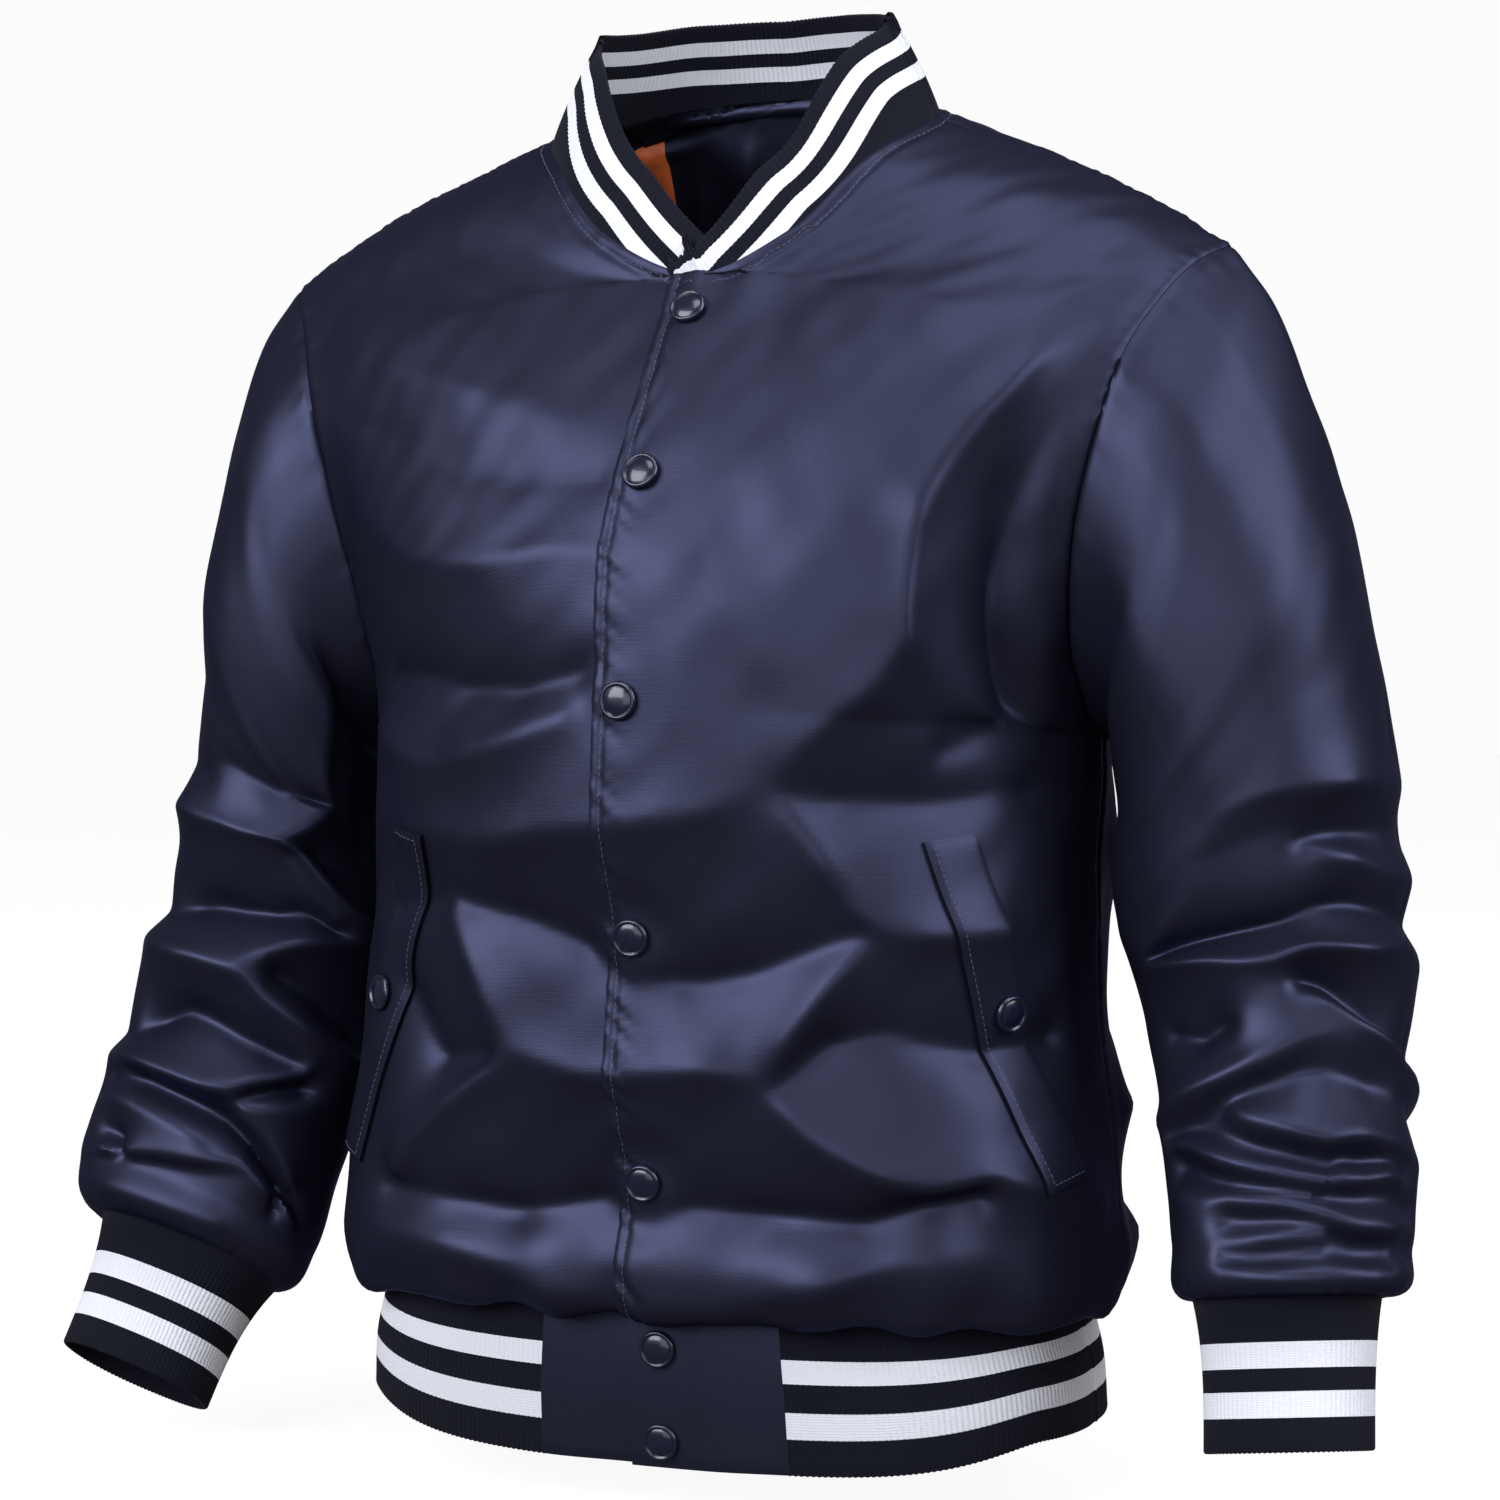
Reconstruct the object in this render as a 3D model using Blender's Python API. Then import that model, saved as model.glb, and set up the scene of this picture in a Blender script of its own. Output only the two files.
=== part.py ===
"""Bomber jacket, worn and hollow, in metres with +Z up.

The wearer faces -Y and the wearer's left is +X. The origin is the middle of the neck
opening, level with the two points where the shoulder seams meet the collar.
Every cloth piece is a sheet of outer points. Each point is also moved inwards by the
cloth's thickness, and the two layers are closed along the edges into a thin wall.
"""

import math
from collections import namedtuple

import bmesh
import bpy
import numpy as np
from mathutils import Vector
from mathutils.bvhtree import BVHTree

# ---------------------------------------------------------------- driving dimensions
CLOTH = 0.0016  # satin shell with its lining
RIB = 0.0025  # knitted rib, folded double
LINING = 0.0010
GAP = 0.0003  # between neighbouring pieces
EDGE_DRAW = 1.05  # share of half the gap by which an edge draws back from its seam
CORNER_DRAW = 1.5  # and where more than two pieces meet

OVERLAP = 0.014  # each front reaches this far past the centre line
LAP_LIFT = 0.0034  # the left front lies this far over the right one
LAP_START = 0.018  # the lift is whole up to here
LAP_END = 0.055  # and gone from here on

SHOULDER_X = 0.237
HEM_SWAY = 0.0045  # the hem hangs this much towards the wearer's right at each side seam
SWAY_START = -0.40  # whole from here down
SWAY_END = -0.28  # and none from here up
NECK_LEAN = 0.008  # the front edges lean this much to the wearer's left at the neck
LEAN_START = -0.22
LEAN_END = -0.09
LEAN_REACH = 0.09  # and the lean is gone this far from the centre line

SNAP_RADIUS = 0.0087
SNAP_SIDES = 16
SNAP_CALM = 0.030  # folds fade out this near a snap
FRONT_SNAP_HEIGHTS = (-0.0945, -0.171, -0.272, -0.377, -0.488)
HEM_SNAP_HEIGHTS = (-0.566, -0.609)

HALF_COLUMNS = 16  # cells from the centre line to a side seam
TAB_COLUMNS = 4  # of which the satin hem tab takes these
STRIP_COLUMNS = 2  # cells of the overlap past the centre line
SAG_ROWS = 3  # grid rows in which the body sags over the hem band
LINE_POINTS = 40  # steps in which a section line is measured
TORSO_WIDTH = 0.29  # nominal distance around from the centre line to a side seam

# The cap's turned outline from its foot up: radius and height.
SNAP_PROFILE = ((SNAP_RADIUS, 0.0), (SNAP_RADIUS, 0.0015), (0.0074, 0.0024), (0.0060, 0.0020))
SNAP_DOME = 0.0028
SNAP_TURNS = np.arange(SNAP_SIDES) * 2 * math.pi / SNAP_SIDES

# Corners of a pocket welt as distance round from the centre line and height: lower inner,
# lower outer, upper inner, upper outer.
WELT_CORNERS = ((0.210, -0.499), (0.242, -0.495), (0.151, -0.341), (0.181, -0.337))
WELT_SHIFT = {"left": 0.0, "right": -0.030}  # how much further round each welt sits
WELT_LIFT = 0.0013
WELT_ROWS = 10
WELT_COLUMNS = 3
WELT_SNAP_UP = 0.50  # place of the pocket's snap on its welt
WELT_SNAP_ACROSS = 0.66

# The bright lining panel inside the neck, on the wearer's right.
LINING_NEAR_X = -0.0705
LINING_FAR_X = -0.093
LINING_NEAR_TOP = 0.0130
LINING_FAR_TOP = -0.0015
LINING_FOOT = -0.038
LINING_LIFT = 0.0006
LINING_ROWS = 4
LINING_COLUMNS = 3

# ---------------------------------------------------------------- section tables
# One row is one line of cloth on the wearer's left, from the centre line or neckline (in)
# to the side seam or armhole (out). turn is the angle that it wraps round by, fall the
# angle downwards, full how far it bellies out, cells the grid cells up to the next row.
Row = namedtuple(
    "Row", "name x_in y_in z_in turn_in fall_in x_out y_out z_out turn_out fall_out full cells"
)
FRONT_ROWS = [
    Row("seam", 0, -0.104, -0.546, 0, 0, 0.170, 0.000, -0.546, 90, 0, 0.46, 1),
    Row("sag", 0, -0.1065, -0.541, 0, 0, 0.181, 0.000, -0.554, 90, 0, 0.47, 1),
    Row("bulge", 0, -0.115, -0.529, 0, 0, 0.187, 0.000, -0.543, 90, 0, 0.47, 1),
    Row("low", 0, -0.1245, -0.505, 0, 0, 0.187, 0.000, -0.505, 90, 0, 0.48, 3),
    Row("waist", 0, -0.131, -0.440, 0, 0, 0.183, 0.002, -0.440, 90, 0, 0.46, 3),
    Row("ribs", 0, -0.140, -0.365, 0, 0, 0.178, 0.004, -0.365, 90, 0, 0.43, 3),
    Row("underarm", 0, -0.147, -0.275, 0, 0, 0.177, 0.006, -0.288, 90, 0, 0.42, 2),
    Row("chest_low", 0, -0.142, -0.218, 0, 0, 0.175, -0.042, -0.252, 70, 4, 0.44, 2),
    Row("chest", 0, -0.127, -0.172, 0, 0, 0.180, -0.061, -0.205, 52, 6, 0.46, 1),
    Row("chest_high", 0, -0.103, -0.124, 2, 0, 0.191, -0.066, -0.158, 36, 9, 0.46, 2),
    Row("neck_base", 0, -0.074, -0.077, 6, 2, 0.203, -0.058, -0.118, 25, 13, 0.46, 2),
    Row("neck_front", 0.047, -0.063, -0.056, 8, 6, 0.215, -0.040, -0.093, 16, 20, 0.42, 2),
    Row("neck_side", 0.079, -0.036, -0.020, 5, 14, 0.228, -0.020, -0.074, 8, 32, 0.38, 2),
    Row("shoulder", 0.097, 0.000, 0.000, 0, 21, SHOULDER_X, 0.002, -0.067, 0, 36, 0.40, 0),
]
BACK_ROWS = [
    Row("seam", 0, 0.100, -0.546, 0, 0, 0.170, 0.000, -0.546, 90, 0, 0.46, 1),
    Row("sag", 0, 0.109, -0.554, 0, 0, 0.181, 0.000, -0.554, 90, 0, 0.47, 1),
    Row("bulge", 0, 0.117, -0.543, 0, 0, 0.187, 0.000, -0.543, 90, 0, 0.47, 1),
    Row("low", 0, 0.121, -0.505, 0, 0, 0.187, 0.000, -0.505, 90, 0, 0.48, 3),
    Row("waist", 0, 0.123, -0.440, 0, 0, 0.183, 0.002, -0.440, 90, 0, 0.49, 3),
    Row("ribs", 0, 0.127, -0.365, 0, 0, 0.178, 0.004, -0.365, 90, 0, 0.48, 3),
    Row("underarm", 0, 0.133, -0.275, 0, 0, 0.177, 0.006, -0.288, 90, 0, 0.48, 2),
    Row("back_low", 0, 0.133, -0.205, 0, 0, 0.178, 0.054, -0.248, 72, 2, 0.50, 2),
    Row("back", 0, 0.128, -0.145, 0, 0, 0.187, 0.074, -0.203, 52, 4, 0.52, 1),
    Row("back_high", 0, 0.113, -0.070, 0, 3, 0.199, 0.077, -0.158, 38, 8, 0.50, 2),
    Row("neck_base", 0, 0.078, 0.027, 0, 15, 0.209, 0.066, -0.118, 28, 14, 0.50, 2),
    Row("neck_back", 0.045, 0.070, 0.024, 4, 17, 0.220, 0.046, -0.091, 18, 22, 0.44, 2),
    Row("neck_side", 0.080, 0.041, 0.013, 2, 20, 0.230, 0.023, -0.074, 9, 32, 0.40, 2),
    Row("shoulder", 0.097, 0.000, 0.000, 0, 21, SHOULDER_X, 0.002, -0.067, 0, 36, 0.40, 0),
]

# One row is one ring of a sleeve: its outermost point, its innermost one, half its depth
# from front to back, and the grid cells up to the next ring.
Ring = namedtuple("Ring", "x_out y_out z_out x_in y_in z_in depth cells")
SLEEVE_LEFT = [
    Ring(SHOULDER_X, 0.002, -0.067, 0.177, 0.006, -0.288, 0.074, 1),
    Ring(0.255, 0.002, -0.091, 0.193, 0.007, -0.297, 0.078, 1),
    Ring(0.271, 0.003, -0.130, 0.191, 0.008, -0.307, 0.079, 2),
    Ring(0.288, 0.005, -0.185, 0.190, 0.008, -0.322, 0.077, 2),
    Ring(0.301, 0.009, -0.250, 0.186, 0.008, -0.340, 0.073, 2),
    Ring(0.311, 0.012, -0.315, 0.186, 0.006, -0.365, 0.069, 3),
    Ring(0.318, 0.008, -0.375, 0.194, 0.002, -0.396, 0.065, 3),
    Ring(0.322, -0.008, -0.428, 0.207, -0.014, -0.435, 0.060, 3),
    Ring(0.326, -0.030, -0.476, 0.219, -0.034, -0.479, 0.054, 2),
    Ring(0.328, -0.047, -0.508, 0.226, -0.050, -0.514, 0.048, 1),
    Ring(0.325, -0.055, -0.527, 0.231, -0.057, -0.535, 0.044, 1),
    Ring(0.318, -0.057, -0.529, 0.237, -0.059, -0.537, 0.037, 0),
]
SLEEVE_RIGHT = [
    Ring(SHOULDER_X, 0.002, -0.067, 0.177, 0.006, -0.288, 0.074, 1),
    Ring(0.256, 0.002, -0.091, 0.193, 0.007, -0.297, 0.078, 1),
    Ring(0.267, 0.003, -0.130, 0.192, 0.008, -0.307, 0.079, 2),
    Ring(0.274, 0.005, -0.185, 0.192, 0.008, -0.322, 0.077, 2),
    Ring(0.279, 0.009, -0.250, 0.190, 0.008, -0.340, 0.073, 2),
    Ring(0.292, 0.012, -0.310, 0.189, 0.006, -0.365, 0.069, 3),
    Ring(0.304, 0.006, -0.365, 0.188, 0.000, -0.400, 0.064, 3),
    Ring(0.318, -0.010, -0.420, 0.196, -0.016, -0.450, 0.059, 3),
    Ring(0.329, -0.026, -0.468, 0.207, -0.030, -0.502, 0.053, 2),
    Ring(0.339, -0.038, -0.510, 0.214, -0.041, -0.541, 0.047, 1),
    Ring(0.333, -0.044, -0.532, 0.224, -0.047, -0.558, 0.042, 1),
    Ring(0.325, -0.045, -0.537, 0.231, -0.048, -0.561, 0.036, 0),
]
CUFF_END_LEFT = Ring(0.318, -0.071, -0.592, 0.245, -0.073, -0.599, 0.031, 0)
CUFF_END_RIGHT = Ring(0.338, -0.062, -0.598, 0.260, -0.064, -0.619, 0.031, 0)
CUFF_AXIS_LEFT = (0.08, -0.20, -0.98)  # the way each cuff points, as on the wearer's left
CUFF_AXIS_RIGHT = (0.17, -0.50, -0.85)
CUFF_TURN = 0.10  # the sleeve turns to that way over this length
CUFF_DRAW = 3  # how soon the cuff draws in below its seam, as a power
CUFF_CELLS = 3
SQUARENESS = 2.25  # of a sleeve's section, where 2 is an ellipse
CAP_BLEND = 0.13  # the armhole's own outline fades into the rings over this length

# The hem band widens from the seam down: its height in front and at the back, then the
# share of the seam ring's width, front depth and back depth.
HemRow = namedtuple("HemRow", "z_front z_back width front back")
HEM = [
    HemRow(-0.569, -0.564, 1.030, 1.000, 1.010),
    HemRow(-0.592, -0.582, 1.055, 0.985, 1.020),
    HemRow(-0.621, -0.606, 1.065, 0.950, 1.025),
]
HEM_FRONT_Y = -0.110
HEM_BACK_Y = -0.050

# The collar stands on the neckline: how far round from the centre front (0) to the centre
# back (1), then how far its top edge is above the neckline, inside it and ahead of it.
CollarStation = namedtuple("CollarStation", "around above inside ahead")
COLLAR = [
    CollarStation(-0.06, 0.0050, 0.0018, 0.0040),
    CollarStation(0.00, 0.0115, 0.0040, 0.0090),
    CollarStation(0.08, 0.0245, 0.0084, 0.0142),
    CollarStation(0.16, 0.0350, 0.0125, 0.0155),
    CollarStation(0.25, 0.0430, 0.0160, 0.0130),
    CollarStation(0.34, 0.0477, 0.0185, 0.0085),
    CollarStation(0.43, 0.0493, 0.0208, 0.0042),
    CollarStation(0.52, 0.0474, 0.0228, 0.0012),
    CollarStation(0.62, 0.0440, 0.0222, 0.0000),
    CollarStation(0.74, 0.0400, 0.0200, 0.0000),
    CollarStation(0.87, 0.0366, 0.0178, 0.0000),
    CollarStation(1.00, 0.0350, 0.0165, 0.0000),
]
COLLAR_CELLS = 3
COLLAR_SWELL = 0.0016

Finish = namedtuple("Finish", "colour roughness metallic")
FINISHES = {
    "satin": Finish((0.022, 0.026, 0.060), 0.38, 0.0),
    "rib": Finish((0.010, 0.012, 0.028), 0.85, 0.0),
    "snap": Finish((0.012, 0.015, 0.040), 0.18, 0.3),
    "lining": Finish((0.85, 0.16, 0.025), 0.5, 0.0),
}


# ---------------------------------------------------------------- curves and sheets
def unit(vectors):
    lengths = np.linalg.norm(vectors, axis=-1, keepdims=True)
    return vectors / np.maximum(lengths, 1e-9)


def smoothstep(value, start, end):
    share = np.clip((np.asarray(value, float) - start) / (end - start), 0.0, 1.0)
    return share * share * (3.0 - 2.0 * share)


def through(knots, values, places):
    """A smooth curve through the values at the knots, read at the given places."""
    knots = np.asarray(knots, float)
    values = np.asarray(values, float)
    steps = np.diff(knots)[:, None]
    secants = np.diff(values, axis=0) / steps
    slopes = np.vstack([secants[:1], secants[:1], secants[1:]])[: len(knots)]
    slopes[-1] = secants[-1]
    slopes[1:-1] = secants[:-1] * steps[1:] + secants[1:] * steps[:-1]
    slopes[1:-1] /= steps[1:] + steps[:-1]
    places = np.asarray(places, float)
    cell = np.clip(np.searchsorted(knots, places, "right") - 1, 0, len(knots) - 2)
    width = steps[cell]
    t = ((places - knots[cell])[:, None]) / width
    return (
        values[cell] * (1 + 2 * t) * (1 - t) ** 2
        + slopes[cell] * width * t * (1 - t) ** 2
        + values[cell + 1] * t * t * (3 - 2 * t)
        + slopes[cell + 1] * width * t * t * (t - 1)
    )


def heading(turn, fall, side):
    """Unit vectors that leave the X axis by turn towards the side and by fall downwards."""
    turn = np.radians(turn)
    fall = np.radians(fall)
    level = np.cos(fall)
    return np.stack([np.cos(turn) * level, side * np.sin(turn) * level, -np.sin(fall)], -1)


def along(line, distances):
    """Points of a polyline at the given distances from its start."""
    steps = np.linalg.norm(np.diff(line, axis=0), axis=1)
    marks = np.concatenate([[0.0], np.cumsum(steps)])
    return np.stack([np.interp(distances, marks, line[:, axis]) for axis in range(3)], -1)


def length(line):
    return np.linalg.norm(np.diff(line, axis=0), axis=1).sum()


def bezier(start, leave, arrive, end, full):
    """A line from start to end, with the directions in which it leaves and arrives."""
    reach = full * np.linalg.norm(end - start)
    t = np.linspace(0.0, 1.0, LINE_POINTS + 1)[:, None]
    points = (start, start + leave * reach, end - arrive * reach, end)
    weights = ((1 - t) ** 3, 3 * t * (1 - t) ** 2, 3 * t * t * (1 - t), t**3)
    return sum(weight * point for weight, point in zip(weights, points))


class Sheet:
    """Outer points, the quads between them, and how thick the cloth is."""

    def __init__(self, name, finish, thickness, points, quads):
        self.name = name
        self.finish = finish
        self.thickness = thickness
        used = np.unique(np.asarray(quads))
        place = np.full(len(points), -1)
        place[used] = np.arange(len(used))
        self.points = np.asarray(points, float)[used]
        self.quads = place[np.asarray(quads)]

    def rim(self):
        """The directed edges that only one face has."""
        edges = [(a, b) for q in self.quads for a, b in zip(q, np.roll(q, -1))]
        known = set(edges)
        return [(a, b) for a, b in edges if (b, a) not in known]

    def rim_ways(self):
        """The direction of the rim at each of its points, with the cloth on its left."""
        ways = np.zeros_like(self.points)
        for a, b in self.rim():
            way = unit(self.points[b] - self.points[a])
            ways[a] += way
            ways[b] += way
        return ways


def grid_quads(rows, columns, wrap=False, keep=lambda row, column: True):
    """Quads of a grid whose point numbers run along the columns first."""
    width = columns if wrap else columns + 1
    quads = []
    for row in range(rows):
        for column in range(columns):
            if keep(row, column):
                right = (column + 1) % width
                here = row * width
                quads.append((here + column, here + right, here + width + right, here + width + column))
    return np.array(quads)


def turned(quads):
    return quads[:, ::-1]


# ---------------------------------------------------------------- the body's own lines
def row_number(rows, name):
    return [row.name for row in rows].index(name)


def ends(rows):
    start = np.array([(r.x_in, r.y_in, r.z_in) for r in rows], float)
    end = np.array([(r.x_out, r.y_out, r.z_out) for r in rows], float)
    return start, end


def half_lines(rows, other, side):
    """The section lines of a half panel at each grid row, and the height that each names.

    other is the panel that it meets at the shoulder and the underarm.
    """
    under = row_number(rows, "underarm")
    neck = row_number(rows, "neck_base")
    start, end = ends(rows)
    other_start, other_end = ends(other)
    steps = np.linalg.norm(np.diff(start, axis=0), axis=1) + np.linalg.norm(np.diff(end, axis=0), axis=1)
    knots = np.concatenate([[0.0], np.cumsum(steps / 2)])
    places = []
    for index, row in enumerate(rows[:-1]):
        places.extend(knots[index] + (knots[index + 1] - knots[index]) * np.arange(row.cells) / row.cells)
    places.append(knots[-1])
    places = np.array(places)
    mirrored = start[neck + 1] * (-1, 1, 1)
    past_shoulder = knots[-1] + (knots[-1] - knots[-2])
    before_neck = knots[neck] - (knots[neck + 1] - knots[neck])
    before_under = knots[under] - (knots[under + 1] - knots[under])
    low_in = through(knots[: neck + 1], start[: neck + 1], places)
    high_in = through(
        np.concatenate([[before_neck], knots[neck:], [past_shoulder]]),
        np.vstack([mirrored, start[neck:], other_start[-2]]),
        places,
    )
    inner = np.where((places >= knots[neck])[:, None], high_in, low_in)
    low_out = through(knots[: under + 1], end[: under + 1], places)
    high_out = through(
        np.concatenate([[before_under], knots[under:], [past_shoulder]]),
        np.vstack([other_end[under + 1], end[under:], other_end[-2]]),
        places,
    )
    outer = np.where((places >= knots[under])[:, None], high_out, low_out)
    shape = through(
        knots, [(r.turn_in, r.fall_in, r.turn_out, r.fall_out, r.full) for r in rows], places
    )
    leave = heading(shape[:, 0], shape[:, 1], side)
    arrive = heading(shape[:, 2], shape[:, 3], side)
    lines = [bezier(a, d, e, b, f) for a, d, e, b, f in zip(inner, leave, arrive, outer, shape[:, 4])]
    heights = rows[under].z_out + places - knots[under]
    cells = [row.cells for row in rows]
    return lines, heights, sum(cells[:neck]), sum(cells[:under])


class Half:
    """A half panel as a grid: points[row, column], from the centre line to the side."""

    def __init__(self, rows, other, side, strip):
        lines, self.heights, self.neck, self.under = half_lines(rows, other, side)
        self.strip = strip
        self.rows = len(lines) - 1
        self.columns = HALF_COLUMNS + strip
        grid = []
        around = []
        for line in lines:
            step = length(line) / HALF_COLUMNS
            past = OVERLAP / max(strip, 1) * np.arange(-strip, 0)
            distances = np.concatenate([past, step * np.arange(HALF_COLUMNS + 1)])
            points = along(line, np.abs(distances))
            points[distances < 0, 0] *= -1
            grid.append(points)
            around.append(distances / length(line))
        self.points = np.array(grid)
        self.around = np.array(around)

    def quads(self):
        def keep(row, column):
            return column >= self.strip or row < self.neck

        return grid_quads(self.rows, self.columns, keep=keep)

    def neckline(self, points):
        """The points from the front edge, or the centre back, to the shoulder seam."""
        base = points[self.neck, : self.strip + 1]
        return np.vstack([base, points[self.neck + 1 :, self.strip]])

    def armhole(self, points):
        """The points from the underarm to the shoulder tip."""
        return points[self.under :, -1]


def swayed(points):
    """Moves the lower body to the wearer's right, and the front edges at the neck left."""
    away = np.abs(points[..., 0])
    share = 1.0 - smoothstep(points[..., 2], SWAY_START, SWAY_END)
    lean = smoothstep(points[..., 2], LEAN_START, LEAN_END) * (1.0 - smoothstep(away, 0.0, LEAN_REACH))
    result = points.copy()
    result[..., 0] -= HEM_SWAY * share * smoothstep(away, 0.0, SHOULDER_X)
    result[..., 0] += NECK_LEAN * lean * (points[..., 1] < 0)
    return result


def face_sums(points, quads):
    """The sum of the face normals round each point, weighted by area."""
    corners = points[quads]
    faces = np.cross(corners[:, 2] - corners[:, 0], corners[:, 3] - corners[:, 1])
    sums = np.zeros_like(points)
    for corner in range(4):
        np.add.at(sums, quads[:, corner], faces)
    return sums


def grid_normals(grid, quads):
    """Unit normals of a grid whose quads these are."""
    return unit(face_sums(grid.reshape(-1, 3), quads)).reshape(grid.shape)


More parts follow.
